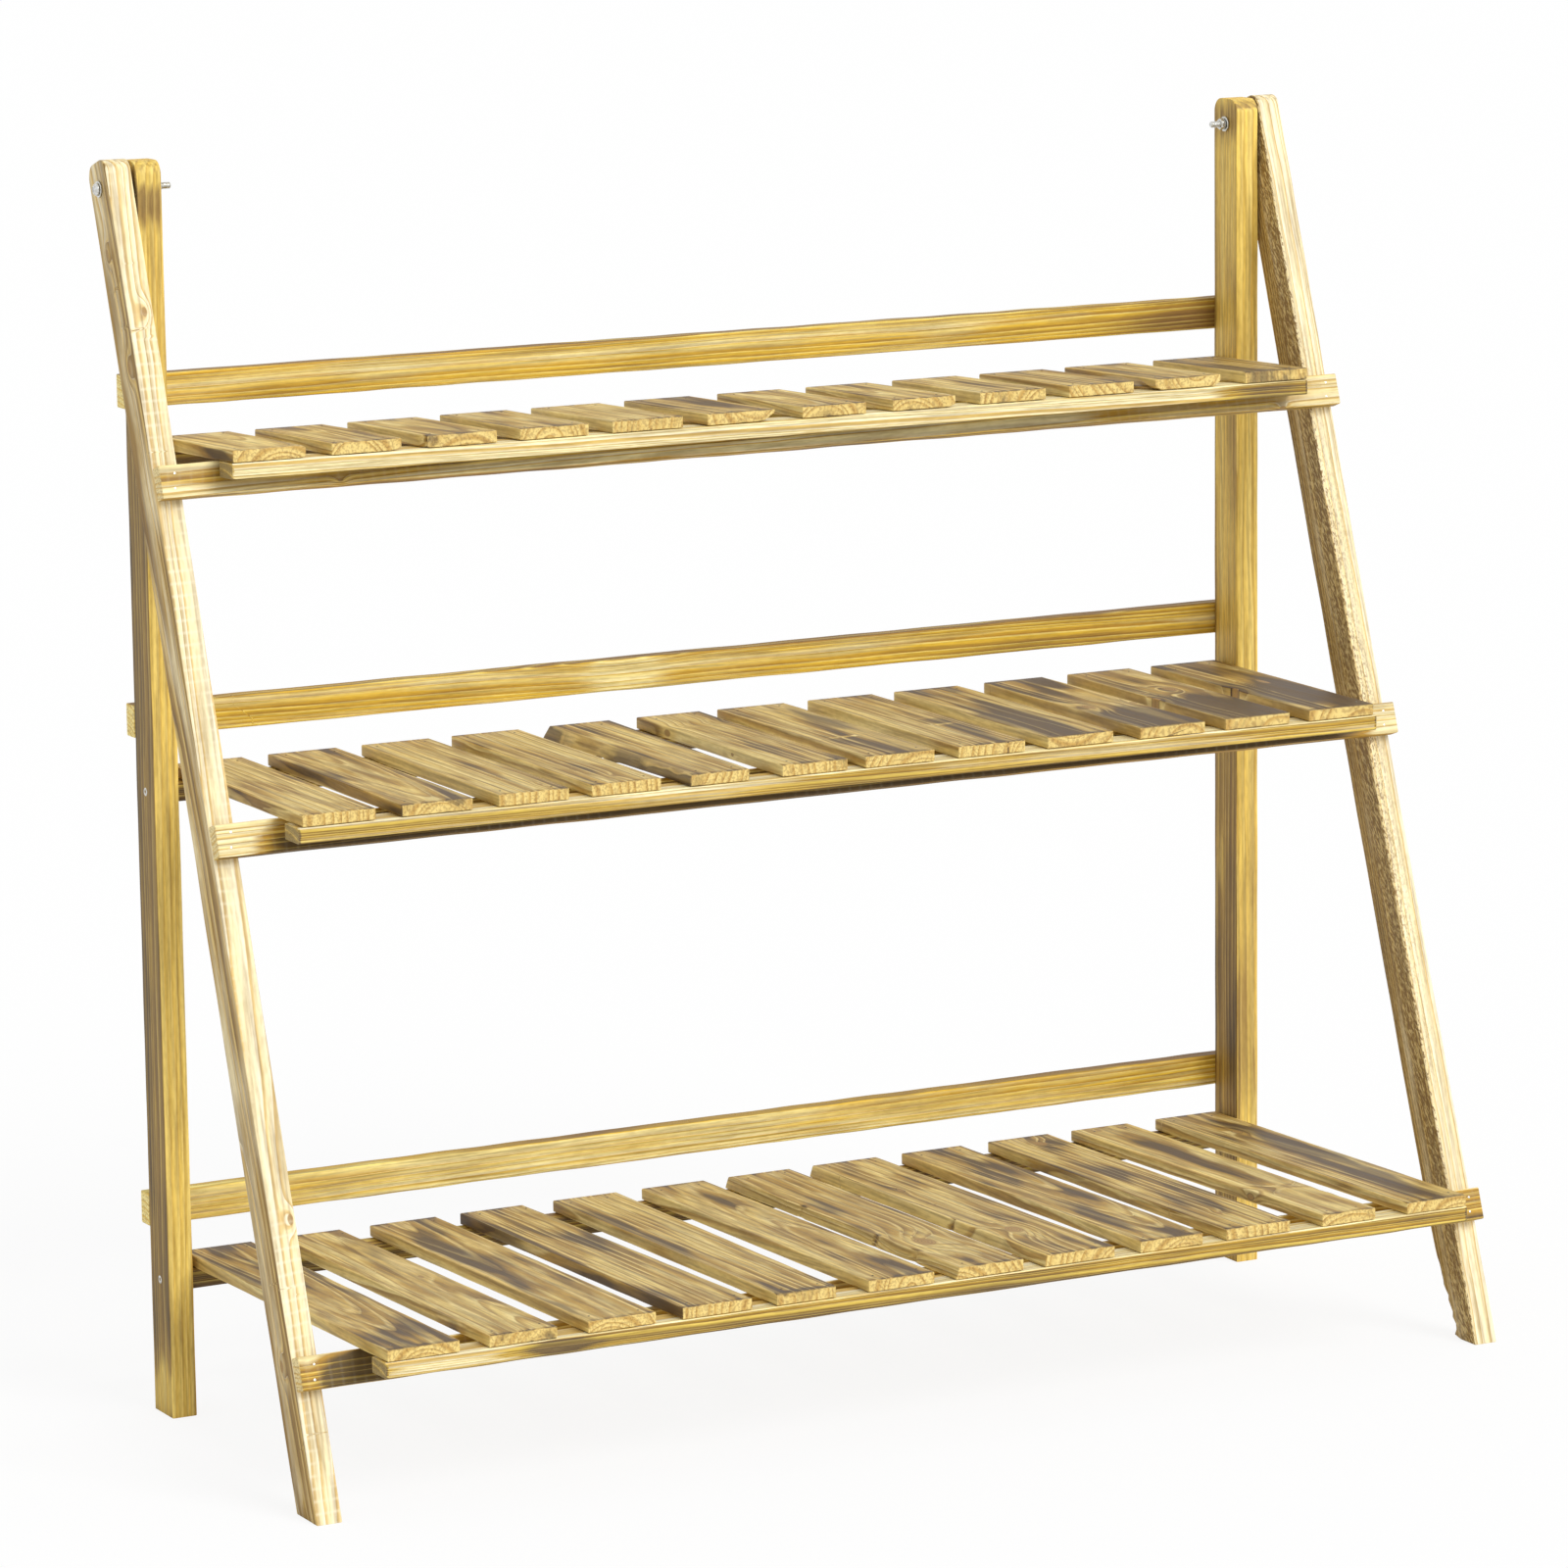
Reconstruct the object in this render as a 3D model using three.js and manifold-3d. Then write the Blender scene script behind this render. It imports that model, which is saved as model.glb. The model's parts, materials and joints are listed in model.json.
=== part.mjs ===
// Folding plant ladder stand in scorched fir: a leaning front frame hangs outside an upright rear
// frame on one bolt per side, and three slatted shelves pivot between the rear legs.
// Units are millimetres. +X is to the right, +Y to the rear, +Z up. Z = 0 is the floor.
// The frames and shelves are laid out from the front face of the rear legs (Y = 0), and the
// whole stand is then centred on its own depth.
import * as THREE from "three";
import { mergeVertices } from "three/addons/utils/BufferGeometryUtils.js";
import Module from "manifold-3d";

const wasm = await Module();
wasm.setup();

// ---- Driving dimensions -------------------------------------------------------------------
const STAND_WIDTH = 1000; // across the outer faces of the front legs
const LEG_THICKNESS = 20; // along X
const LEG_DEPTH = 35; // across the leg, front to rear
const LEG_GAP = 2; // between a front leg and the rear leg beside it
const LEG_TOP_RADIUS = 11; // rounding of both upper corners of every leg
const HINGE_HEIGHT = 923; // bolt above the floor
const LEG_ABOVE_HINGE = 20; // leg end above the bolt
const LEAN = THREE.MathUtils.degToRad(18.8); // front frame from upright

const RAIL_HEIGHT = 25; // frame rails, measured along the leg
const FRONT_RAIL_THICKNESS = 12;
const BACK_RAIL_THICKNESS = 15;

const SHELF_SIDE_GAP = 3; // between a shelf and the inner face of a rear leg
const SLAT_COUNT = 12;
const SLAT_GAP = 20.5;
const SLAT_THICKNESS = 9;
const SHELF_RAIL_WIDTH = 25; // shelf rails lie flat under the slats
const SHELF_FRONT_RAIL_HEIGHT = 12;
const SHELF_BACK_RAIL_HEIGHT = 15; // the pivots sit at its middle

const TOP_PIVOT = 721.3; // pivot lines of the shelves above the floor
const MIDDLE_PIVOT = 475.8;
const BOTTOM_PIVOT = 104;
const TOP_HOOK = 1; // room between the cross rail and the shelf's own front rail
const MIDDLE_HOOK = 17.6;
const BOTTOM_HOOK = 22.6;
const TOP_TILT = THREE.MathUtils.degToRad(1.85); // front edge higher than the back
const MIDDLE_TILT = THREE.MathUtils.degToRad(-0.26);
const BOTTOM_TILT = THREE.MathUtils.degToRad(1.22);
const GUARD_ABOVE_PIVOT = 50; // middle of the back rail that stops the pots

const BOLT_DIAMETER = 5;
const BOLT_HEAD_DIAMETER = 9.5;
const BOLT_HEAD_HEIGHT = 3.2;
const BOLT_SOCKET = 3; // across the flats of the hexagon socket
const BOLT_SOCKET_DEPTH = 1.8;
const BOLT_TAIL = 8; // thread left standing out of the nut
const NUT_ACROSS_FLATS = 8;
const NUT_HEIGHT = 4;
const WASHER_DIAMETER = 12;
const WASHER_THICKNESS = 1;

const PIVOT_DIAMETER = 4; // screw on which a shelf turns
const PIVOT_HEAD_DIAMETER = 6.6;
const PIVOT_HEAD_HEIGHT = 2;
const PIVOT_RECESS = 0.6; // head below the leg's outer face

const HOLE_CLEARANCE = 0.25; // radial, bolt or screw in its hole
const SEAT_GAP = 0.3; // between pieces nailed together in a turned frame
const REST_GAP = 0.3; // between the slats and the cross rail they rest on
const EDGE_EASE = 0.8; // sanded edges of legs and rails
const RAIL_ROUND = 1.2; // rounding of a rail's long edges
const SLAT_EASE = 1.2; // sanded long edges of the slats
const ROUND_STEPS = 20; // sides of a bolt, screw or hole
const EDGE_STEPS = 1; // fineness of an eased edge

// ---- Sizes that follow --------------------------------------------------------------------
const LEG_OUTER = STAND_WIDTH / 2;
const REAR_LEG_OUTER = LEG_OUTER - LEG_THICKNESS - LEG_GAP;
const REAR_LEG_INNER = REAR_LEG_OUTER - LEG_THICKNESS;
const SHELF_HALF = REAR_LEG_INNER - SHELF_SIDE_GAP;
const SLAT_WIDTH = (2 * SHELF_HALF - (SLAT_COUNT - 1) * SLAT_GAP) / SLAT_COUNT;
const LEG_AXIS_Y = LEG_DEPTH / 2; // hinge bolt and shelf pivots lie on the rear legs' centre line
const SLAT_UNDERSIDE = SHELF_BACK_RAIL_HEIGHT / 2 + SEAT_GAP; // above the pivot
const SHELF_OVERHANG = SHELF_RAIL_WIDTH / 2; // slats behind the pivot
const RAIL_OUT = LEG_DEPTH / 2 + SEAT_GAP + FRONT_RAIL_THICKNESS; // leg axis to a cross rail's face
const TIERS = [
  { name: "top", pivot: TOP_PIVOT, hook: TOP_HOOK, tilt: TOP_TILT },
  { name: "middle", pivot: MIDDLE_PIVOT, hook: MIDDLE_HOOK, tilt: MIDDLE_TILT },
  { name: "bottom", pivot: BOTTOM_PIVOT, hook: BOTTOM_HOOK, tilt: BOTTOM_TILT },
];
const SIDES = [
  { name: "left", sign: -1 },
  { name: "right", sign: 1 },
];

// ---- Finishes -----------------------------------------------------------------------------
const finish = (color, roughness, metalness = 0) => ({ color, roughness, metalness });
const FRONT_WOOD = finish("#d9b96a", 0.62);
const BACK_WOOD = finish("#cfa045", 0.62);
const LEG_WOOD = finish("#cdab62", 0.65);
const SLAT_WOOD = finish("#8a7046", 0.7);
const SHELF_RAIL_WOOD = finish("#d8b04c", 0.62);
const ZINC = finish("#c9ccd0", 0.35, 1);

// ---- Helpers ------------------------------------------------------------------------------
const AXIS_X = new THREE.Vector3(1, 0, 0);
const AXIS_Y = new THREE.Vector3(0, 1, 0);
const AXIS_Z = new THREE.Vector3(0, 0, 1);
// A section drawn in the side view (Y, Z) and carried along X.
const ALONG_X = new THREE.Matrix4().makeBasis(AXIS_Y, AXIS_Z, AXIS_X);
// A section drawn in the front view (X, Z) and carried towards the front, along -Y.
const ALONG_FRONT = new THREE.Matrix4().makeBasis(AXIS_X, AXIS_Z, AXIS_Y.clone().negate());
// A turned shape drawn about its own Y axis and laid along X.
const LATHE_TO_X = new THREE.Matrix4().makeBasis(AXIS_Y.clone().negate(), AXIS_X, AXIS_Z);

/** A named mesh with a material of its own. */
function piece(name, geometry, look) {
  const mesh = new THREE.Mesh(geometry, new THREE.MeshStandardMaterial(look));
  mesh.name = name;
  return mesh;
}

/** A closed geometry as a solid for cutting and joining. */
function solid(geometry) {
  const bare = geometry.clone();
  bare.deleteAttribute("normal");
  bare.deleteAttribute("uv");
  const merged = mergeVertices(bare, 1e-4);
  return new wasm.Manifold(
    new wasm.Mesh({
      numProp: 3,
      vertProperties: merged.attributes.position.array,
      triVerts: new Uint32Array(merged.index.array),
    }),
  );
}

/** A solid back as a geometry. */
function geometryOf(body) {
  const mesh = body.getMesh();
  const geometry = new THREE.BufferGeometry();
  geometry.setAttribute("position", new THREE.BufferAttribute(mesh.vertProperties, mesh.numProp));
  geometry.setIndex(new THREE.BufferAttribute(mesh.triVerts, 1));
  geometry.computeVertexNormals();
  return geometry;
}

/** A rectangle with rounded corners, centred on (x, y). */
function roundedRectangle(x, y, width, height, radius) {
  const right = width / 2 - radius;
  const top = height / 2 - radius;
  const shape = new THREE.Shape();
  shape.absarc(x + right, y + top, radius, 0, Math.PI / 2);
  shape.absarc(x - right, y + top, radius, Math.PI / 2, Math.PI);
  shape.absarc(x - right, y - top, radius, Math.PI, 1.5 * Math.PI);
  shape.absarc(x + right, y - top, radius, 1.5 * Math.PI, 2 * Math.PI);
  return shape;
}

/** A round hole in a section. */
function drill(shape, x, y, radius) {
  shape.holes.push(new THREE.Path().absarc(x, y, radius, 0, 2 * Math.PI, true));
}

/** A section carried over a length, from 0 to that length, with both end edges eased. */
function board(shape, length, ease, curveSegments, basis) {
  const geometry = new THREE.ExtrudeGeometry(shape, {
    depth: length - 2 * ease,
    bevelEnabled: true,
    bevelThickness: ease,
    bevelSize: ease,
    bevelOffset: -ease,
    bevelSegments: 1,
    curveSegments,
  });
  return geometry.translate(0, 0, ease).applyMatrix4(basis);
}

/** A round shape from its outline [radius, height along the axis], laid along X. */
function turned(outline, steps = ROUND_STEPS) {
  const points = outline.map(([radius, along]) => new THREE.Vector2(radius, along));
  return new THREE.LatheGeometry(points, steps).applyMatrix4(LATHE_TO_X);
}

/** A rail across the stand, its section centred on (y, z), between two X values. */
function rail(name, y, z, width, height, half, look) {
  const section = roundedRectangle(y, z, width, height, RAIL_ROUND);
  const bar = board(section, 2 * half, EDGE_EASE, EDGE_STEPS, ALONG_X);
  return piece(name, bar.translate(-half, 0, 0), look);
}

// ---- Legs ---------------------------------------------------------------------------------
/**
 * Side view of a leg about its hinge bolt: rounded upper corners and a foot sawn to lie flat
 * on the floor. floorAt gives the height of the floor at a depth across the leg.
 */
function legOutline(floorAt) {
  const front = -LEG_DEPTH / 2;
  const rear = LEG_DEPTH / 2;
  const round = LEG_ABOVE_HINGE - LEG_TOP_RADIUS;
  const shape = new THREE.Shape();
  shape.moveTo(front, floorAt(front));
  shape.lineTo(rear, floorAt(rear));
  shape.absarc(rear - LEG_TOP_RADIUS, round, LEG_TOP_RADIUS, 0, Math.PI / 2);
  shape.absarc(front + LEG_TOP_RADIUS, round, LEG_TOP_RADIUS, Math.PI / 2, Math.PI);
  shape.closePath();
  drill(shape, 0, 0, BOLT_DIAMETER / 2 + HOLE_CLEARANCE);
  return shape;
}

/** A rear leg, upright, with a stepped hole for each shelf's pivot screw. */
function rearLeg({ name, sign }) {
  const shape = legOutline(() => -HINGE_HEIGHT);
  for (const { pivot } of TIERS) {
    drill(shape, 0, pivot - HINGE_HEIGHT, PIVOT_DIAMETER / 2 + HOLE_CLEARANCE);
  }
  const sawn = board(shape, LEG_THICKNESS, EDGE_EASE, ROUND_STEPS / 2, ALONG_X);
  let leg = solid(sawn.translate(-LEG_THICKNESS / 2, 0, 0));
  const pocket = PIVOT_RECESS + PIVOT_HEAD_HEIGHT + HOLE_CLEARANCE;
  for (const { pivot } of TIERS) {
    const mill = turned([
      [0, 0],
      [PIVOT_HEAD_DIAMETER / 2 + HOLE_CLEARANCE, 0],
      [PIVOT_HEAD_DIAMETER / 2 + HOLE_CLEARANCE, 2 * pocket],
      [0, 2 * pocket],
    ]);
    mill.translate(LEG_THICKNESS / 2 - pocket, 0, 0);
    if (sign < 0) mill.rotateZ(Math.PI);
    leg = leg.subtract(solid(mill.translate(0, 0, pivot - HINGE_HEIGHT)));
  }
  const mesh = piece(`rear_leg_${name}`, geometryOf(leg), LEG_WOOD);
  mesh.position.set(sign * (REAR_LEG_OUTER - LEG_THICKNESS / 2), LEG_AXIS_Y, HINGE_HEIGHT);
  return mesh;
}

/** A front leg about the hinge, in the leaning frame, its foot sawn to the floor. */
function frontLeg({ name, sign }) {
  const floorAt = (y) => (y * Math.sin(LEAN) - HINGE_HEIGHT) / Math.cos(LEAN);
  const geometry = board(legOutline(floorAt), LEG_THICKNESS, EDGE_EASE, ROUND_STEPS / 2, ALONG_X);
  const mesh = piece(`front_leg_${name}`, geometry, FRONT_WOOD);
  mesh.position.x = sign > 0 ? LEG_OUTER - LEG_THICKNESS : -LEG_OUTER;
  return mesh;
}

// ---- Frames -------------------------------------------------------------------------------
/**
 * From the hinge bolt down the front leg to the top of the cross rail that carries a shelf: its
 * upper front edge meets the undersides of the slats at the shelf's tilt.
 */
function railDrop({ pivot, tilt }) {
  const above = HINGE_HEIGHT - pivot;
  const under = SLAT_UNDERSIDE - REST_GAP;
  const angle = LEAN - tilt;
  return (above * Math.cos(tilt) + RAIL_OUT * Math.sin(angle) - under) / Math.cos(angle);
}

/** Rear legs and the three back rails that stop the pots. */
function rearFrame() {
  const group = new THREE.Group();
  SIDES.forEach((side) => group.add(rearLeg(side)));
  for (const tier of TIERS) {
    const y = LEG_DEPTH + BACK_RAIL_THICKNESS / 2;
    const name = `back_rail_${tier.name}`;
    const half = REAR_LEG_OUTER;
    const z = tier.pivot + GUARD_ABOVE_PIVOT;
    group.add(rail(name, y, z, BACK_RAIL_THICKNESS, RAIL_HEIGHT, half, BACK_WOOD));
  }
  return group;
}

/** Front legs and cross rails, drawn about the hinge and then leaned forward. */
function frontFrame() {
  const group = new THREE.Group();
  SIDES.forEach((side) => group.add(frontLeg(side)));
  for (const tier of TIERS) {
    const y = FRONT_RAIL_THICKNESS / 2 - RAIL_OUT;
    const z = -railDrop(tier) - RAIL_HEIGHT / 2;
    const name = `front_rail_${tier.name}`;
    group.add(rail(name, y, z, FRONT_RAIL_THICKNESS, RAIL_HEIGHT, LEG_OUTER, FRONT_WOOD));
  }
  group.position.set(0, LEG_AXIS_Y, HINGE_HEIGHT);
  group.rotation.x = -LEAN;
  return group;
}

// ---- Shelves ------------------------------------------------------------------------------
/** From the pivot to the shelf's front edge: past the cross rail, with the front rail's width. */
function shelfReach(tier) {
  const drop = railDrop(tier);
  const forward = RAIL_OUT * Math.cos(LEAN) + drop * Math.sin(LEAN);
  const above = HINGE_HEIGHT + RAIL_OUT * Math.sin(LEAN) - drop * Math.cos(LEAN) - tier.pivot;
  const support = forward * Math.cos(tier.tilt) + above * Math.sin(tier.tilt);
  const slope = SHELF_FRONT_RAIL_HEIGHT * Math.tan(LEAN + tier.tilt);
  return support + slope + tier.hook + SHELF_RAIL_WIDTH;
}

/** The back rail with the two pivot screws that stand out of its ends. */
function shelfBackRail(name) {
  const section = roundedRectangle(0, 0, SHELF_RAIL_WIDTH, SHELF_BACK_RAIL_HEIGHT, RAIL_ROUND);
  const bar = board(section, 2 * SHELF_HALF, EDGE_EASE, EDGE_STEPS, ALONG_X);
  let body = solid(bar.translate(-SHELF_HALF, 0, 0));
  const shank = PIVOT_DIAMETER / 2;
  const head = PIVOT_HEAD_DIAMETER / 2;
  const end = REAR_LEG_OUTER - PIVOT_RECESS;
  const bury = SHELF_HALF - SHELF_RAIL_WIDTH; // how deep the screw bites into the end grain
  for (const { sign } of SIDES) {
    const screw = turned([
      [0, bury],
      [shank, bury],
      [shank, end - PIVOT_HEAD_HEIGHT],
      [head, end - PIVOT_HEAD_HEIGHT / 3],
      [head, end],
      [0, end],
    ]);
    if (sign < 0) screw.rotateZ(Math.PI);
    body = body.add(solid(screw));
  }
  return piece(name, geometryOf(body), SHELF_RAIL_WOOD);
}

/** One shelf about its pivot line: two rails and a row of slats, front edges flush. */
function shelf(tier) {
  const reach = shelfReach(tier);
  const name = `shelf_${tier.name}`;
  const group = new THREE.Group();
  group.add(shelfBackRail(`${name}_back_rail`));

  const frontY = -reach + SHELF_RAIL_WIDTH / 2;
  const frontZ = SLAT_UNDERSIDE - SEAT_GAP - SHELF_FRONT_RAIL_HEIGHT / 2;
  const height = SHELF_FRONT_RAIL_HEIGHT;
  const look = SHELF_RAIL_WOOD;
  group.add(
    rail(`${name}_front_rail`, frontY, frontZ, SHELF_RAIL_WIDTH, height, SHELF_HALF, look),
  );

  const section = roundedRectangle(0, 0, SLAT_WIDTH, SLAT_THICKNESS, SLAT_EASE);
  const slat = board(section, reach + SHELF_OVERHANG, SLAT_EASE / 2, EDGE_STEPS, ALONG_FRONT);
  for (let i = 0; i < SLAT_COUNT; i += 1) {
    const number = String(i + 1).padStart(2, "0");
    const mesh = piece(`${name}_slat_${number}`, slat.clone(), SLAT_WOOD);
    const x = -SHELF_HALF + SLAT_WIDTH / 2 + i * (SLAT_WIDTH + SLAT_GAP);
    mesh.position.set(x, SHELF_OVERHANG, SLAT_UNDERSIDE + SLAT_THICKNESS / 2);
    group.add(mesh);
  }
  group.position.set(0, LEG_AXIS_Y, tier.pivot);
  group.rotation.x = -tier.tilt;
  return group;
}

// ---- Hinge hardware -----------------------------------------------------------------------
/** Button-head bolt from outside the front leg to inside the rear leg, drawn for the right. */
function hingeBolt(name) {
  const shank = BOLT_DIAMETER / 2;
  const head = BOLT_HEAD_DIAMETER / 2;
  const seat = LEG_OUTER + SEAT_GAP + WASHER_THICKNESS + SEAT_GAP;
  const tip = nutInner() - BOLT_TAIL;
  const chamfer = 0.6;
  const outline = [
    [0, tip],
    [shank - chamfer, tip],
    [shank, tip + chamfer],
    [shank, seat],
    [head, seat],
    [head, seat + BOLT_HEAD_HEIGHT * 0.3],
    [head * 0.86, seat + BOLT_HEAD_HEIGHT * 0.72],
    [head * 0.6, seat + BOLT_HEAD_HEIGHT],
    [0, seat + BOLT_HEAD_HEIGHT],
  ];
  const key = new THREE.CylinderGeometry(
    BOLT_SOCKET / Math.sqrt(3),
    BOLT_SOCKET / Math.sqrt(3),
    2 * BOLT_SOCKET_DEPTH,
    6,
  );
  key.applyMatrix4(LATHE_TO_X).translate(seat + BOLT_HEAD_HEIGHT, 0, 0);
  const body = solid(turned(outline)).subtract(solid(key));
  return piece(name, geometryOf(body), ZINC);
}

/** A flat washer between two X values of its faces. */
function washer(name, inner) {
  const bore = BOLT_DIAMETER / 2 + HOLE_CLEARANCE;
  const rim = WASHER_DIAMETER / 2;
  const outer = inner + WASHER_THICKNESS;
  const ring = turned([
    [bore, inner],
    [rim, inner],
    [rim, outer],
    [bore, outer],
    [bore, inner],
  ]);
  return piece(name, ring, ZINC);
}

/** Inner face of the nut, towards the middle of the stand. */
function nutInner() {
  return REAR_LEG_INNER - SEAT_GAP - WASHER_THICKNESS - SEAT_GAP - NUT_HEIGHT;
}

/** Hexagon nut with chamfered corners and its bore. */
function hexNut(name) {
  const corner = NUT_ACROSS_FLATS / Math.sqrt(3);
  const flat = NUT_ACROSS_FLATS / 2;
  const inner = nutInner();
  const middle = inner + NUT_HEIGHT / 2;
  const outer = inner + NUT_HEIGHT;
  const drop = (corner - flat) / 2; // height of the chamfer at the corners
  const prism = new THREE.CylinderGeometry(corner, corner, NUT_HEIGHT, 6);
  prism.applyMatrix4(LATHE_TO_X).translate(middle, 0, 0);
  const cone = turned([
    [0, inner],
    [flat * 0.98, inner],
    [corner, inner + drop],
    [corner, outer - drop],
    [flat * 0.98, outer],
    [0, outer],
  ]);
  const bore = BOLT_DIAMETER / 2 + HOLE_CLEARANCE;
  const hole = turned([
    [0, inner - 1],
    [bore, inner - 1],
    [bore, outer + 1],
    [0, outer + 1],
  ]);
  const body = solid(prism).intersect(solid(cone)).subtract(solid(hole));
  return piece(name, geometryOf(body), ZINC);
}

/** Bolt, washers and nut of one hinge, drawn for the right and turned round for the left. */
function hinge({ name, sign }) {
  const group = new THREE.Group();
  group.add(
    hingeBolt(`hinge_bolt_${name}`),
    washer(`hinge_outer_washer_${name}`, LEG_OUTER + SEAT_GAP),
    washer(`hinge_inner_washer_${name}`, REAR_LEG_INNER - SEAT_GAP - WASHER_THICKNESS),
    hexNut(`hinge_nut_${name}`),
  );
  group.position.set(0, LEG_AXIS_Y, HINGE_HEIGHT);
  if (sign < 0) group.rotation.z = Math.PI;
  return group;
}

// ---- Assembly -----------------------------------------------------------------------------
/** Middle of the stand's depth, from its foremost shelf edge or foot to the back rails. */
function middleOfDepth() {
  const rear = LEG_DEPTH + BACK_RAIL_THICKNESS;
  const foot = -(LEG_DEPTH / 2) / Math.cos(LEAN) - HINGE_HEIGHT * Math.tan(LEAN);
  const edges = TIERS.map((tier) => {
    const low = SLAT_UNDERSIDE - SEAT_GAP - SHELF_FRONT_RAIL_HEIGHT;
    return -shelfReach(tier) * Math.cos(tier.tilt) + Math.min(low * Math.sin(tier.tilt), 0);
  });
  return (LEG_AXIS_Y + Math.min(foot, ...edges) + rear) / 2;
}

const stand = new THREE.Group();
stand.add(rearFrame(), frontFrame());
TIERS.forEach((tier) => stand.add(shelf(tier)));
SIDES.forEach((side) => stand.add(hinge(side)));
stand.position.y = -middleOfDepth();

export default stand;
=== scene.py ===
"""Looks of a folding plant ladder stand in scorched and brushed fir, with zinc-plated hinge bolts."""

import json
import logging
import math
from dataclasses import dataclass, field
from enum import Enum
from typing import Iterable, Sequence

import bpy
import numpy as np
from mathutils import Matrix, Vector


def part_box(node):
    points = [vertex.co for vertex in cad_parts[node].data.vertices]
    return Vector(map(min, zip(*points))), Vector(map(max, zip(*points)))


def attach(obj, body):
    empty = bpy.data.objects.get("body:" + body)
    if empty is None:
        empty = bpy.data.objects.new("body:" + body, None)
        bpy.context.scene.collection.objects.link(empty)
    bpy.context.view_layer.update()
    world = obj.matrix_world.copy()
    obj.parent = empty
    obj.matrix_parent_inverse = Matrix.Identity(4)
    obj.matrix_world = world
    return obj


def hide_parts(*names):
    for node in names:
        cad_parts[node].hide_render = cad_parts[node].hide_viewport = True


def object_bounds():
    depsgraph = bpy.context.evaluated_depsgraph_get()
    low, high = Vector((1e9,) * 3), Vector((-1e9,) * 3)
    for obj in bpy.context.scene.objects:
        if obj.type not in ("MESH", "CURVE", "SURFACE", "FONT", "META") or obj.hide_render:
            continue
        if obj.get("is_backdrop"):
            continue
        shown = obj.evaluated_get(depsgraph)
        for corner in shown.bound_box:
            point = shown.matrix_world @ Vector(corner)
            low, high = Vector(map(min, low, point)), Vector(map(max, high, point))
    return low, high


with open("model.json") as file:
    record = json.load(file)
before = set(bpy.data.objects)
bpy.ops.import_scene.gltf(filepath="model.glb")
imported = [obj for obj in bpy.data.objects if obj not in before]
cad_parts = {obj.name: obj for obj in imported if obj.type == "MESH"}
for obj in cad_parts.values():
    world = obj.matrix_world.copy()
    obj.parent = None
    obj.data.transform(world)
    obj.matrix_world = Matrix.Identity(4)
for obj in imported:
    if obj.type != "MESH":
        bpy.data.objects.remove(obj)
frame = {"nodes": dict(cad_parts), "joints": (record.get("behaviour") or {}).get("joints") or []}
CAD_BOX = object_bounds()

LOG = logging.getLogger("plant_ladder_stand")
MM = 0.001

# ---- Driving sizes, in millimetres ------------------------------------------------------------
EDGE_RADIUS = 1.3  # worn long edges of legs and rails
SLAT_RADIUS = 1.0  # long edges of slats
END_EASE = 0.6  # sanded ends
STATION_STEP = 5.0  # between the sections of a board
FACE_STEP = 3.6  # between the points across a wide face
FACE_MARGIN = 0.8  # from the round of a long edge to the face's first point
SIDE_WANDER = 0.5  # how far a sawn side falls short of its size, at most
FACE_WANDER = 0.2  # the same for a face
FOOT_FADE = 80.0  # how far up a leg the slant of its foot is felt
KNOT_REACH = 12.0  # in knot radii; beyond it a board reads as free of knots
NO_KNOT = (9.0, 9.0, 0.0)  # place, in knot radii, and radius where no knot is near
LEG_TOP_RADIUS = 11.0
THREAD_PITCH = 0.8
TIERS = ("top", "middle", "bottom")


# ---- Small tools ------------------------------------------------------------------------------
def linear(hexadecimal: str) -> tuple[float, float, float, float]:
    """An sRGB colour turned to linear light.

    Args:
        hexadecimal: The colour as "#rrggbb".

    Returns:
        Linear red, green and blue with an alpha of one.
    """
    parts = [int(hexadecimal[i : i + 2], 16) / 255 for i in (1, 3, 5)]
    red, green, blue = (
        c / 12.92 if c <= 0.04045 else ((c + 0.055) / 1.055) ** 2.4 for c in parts
    )
    return red, green, blue, 1.0


def smooth(value: np.ndarray, low: float, high: float) -> np.ndarray:
    """A soft step: nought at low, one at high, along 3t^2 - 2t^3 between them."""
    t = np.clip((value - low) / (high - low), 0.0, 1.0)
    return t * t * (3.0 - 2.0 * t)


def waves(seed: int, position: np.ndarray, length: float, terms: int = 5) -> np.ndarray:
    """A smooth random line: the sum of sines of random phase and of lengths near one length.

    Args:
        seed: Number of the line.
        position: Where it is read, in metres.
        length: The typical wave length, in metres.
        terms: How many sines are added.

    Returns:
        Heights between about -1 and 1.
    """
    random = np.random.default_rng(seed)
    total = np.zeros_like(position)
    for phase, share in zip(random.uniform(0, 2 * math.pi, terms), random.uniform(0.5, 2.2, terms)):
        total += np.sin(phase + 2 * math.pi * position * share / length)
    return total / math.sqrt(terms * 2.0)


def mesh_object(name: str, points: np.ndarray, faces: Sequence[Sequence[int]]) -> bpy.types.Object:
    """A smooth-shaded object from points and faces.

    Args:
        name: Name of the object.
        points: One row per vertex, in metres, in the stand's frame.
        faces: Vertex numbers of each face, anticlockwise as seen from outside.

    Returns:
        The object, at the origin.
    """
    mesh = bpy.data.meshes.new(name)
    mesh.from_pydata(points.tolist(), [], faces)
    mesh.update()
    mesh.polygons.foreach_set("use_smooth", np.ones(len(mesh.polygons), bool))
    mesh.validate()
    thing = bpy.data.objects.new(name, mesh)
    bpy.context.scene.collection.objects.link(thing)
    return thing


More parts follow.
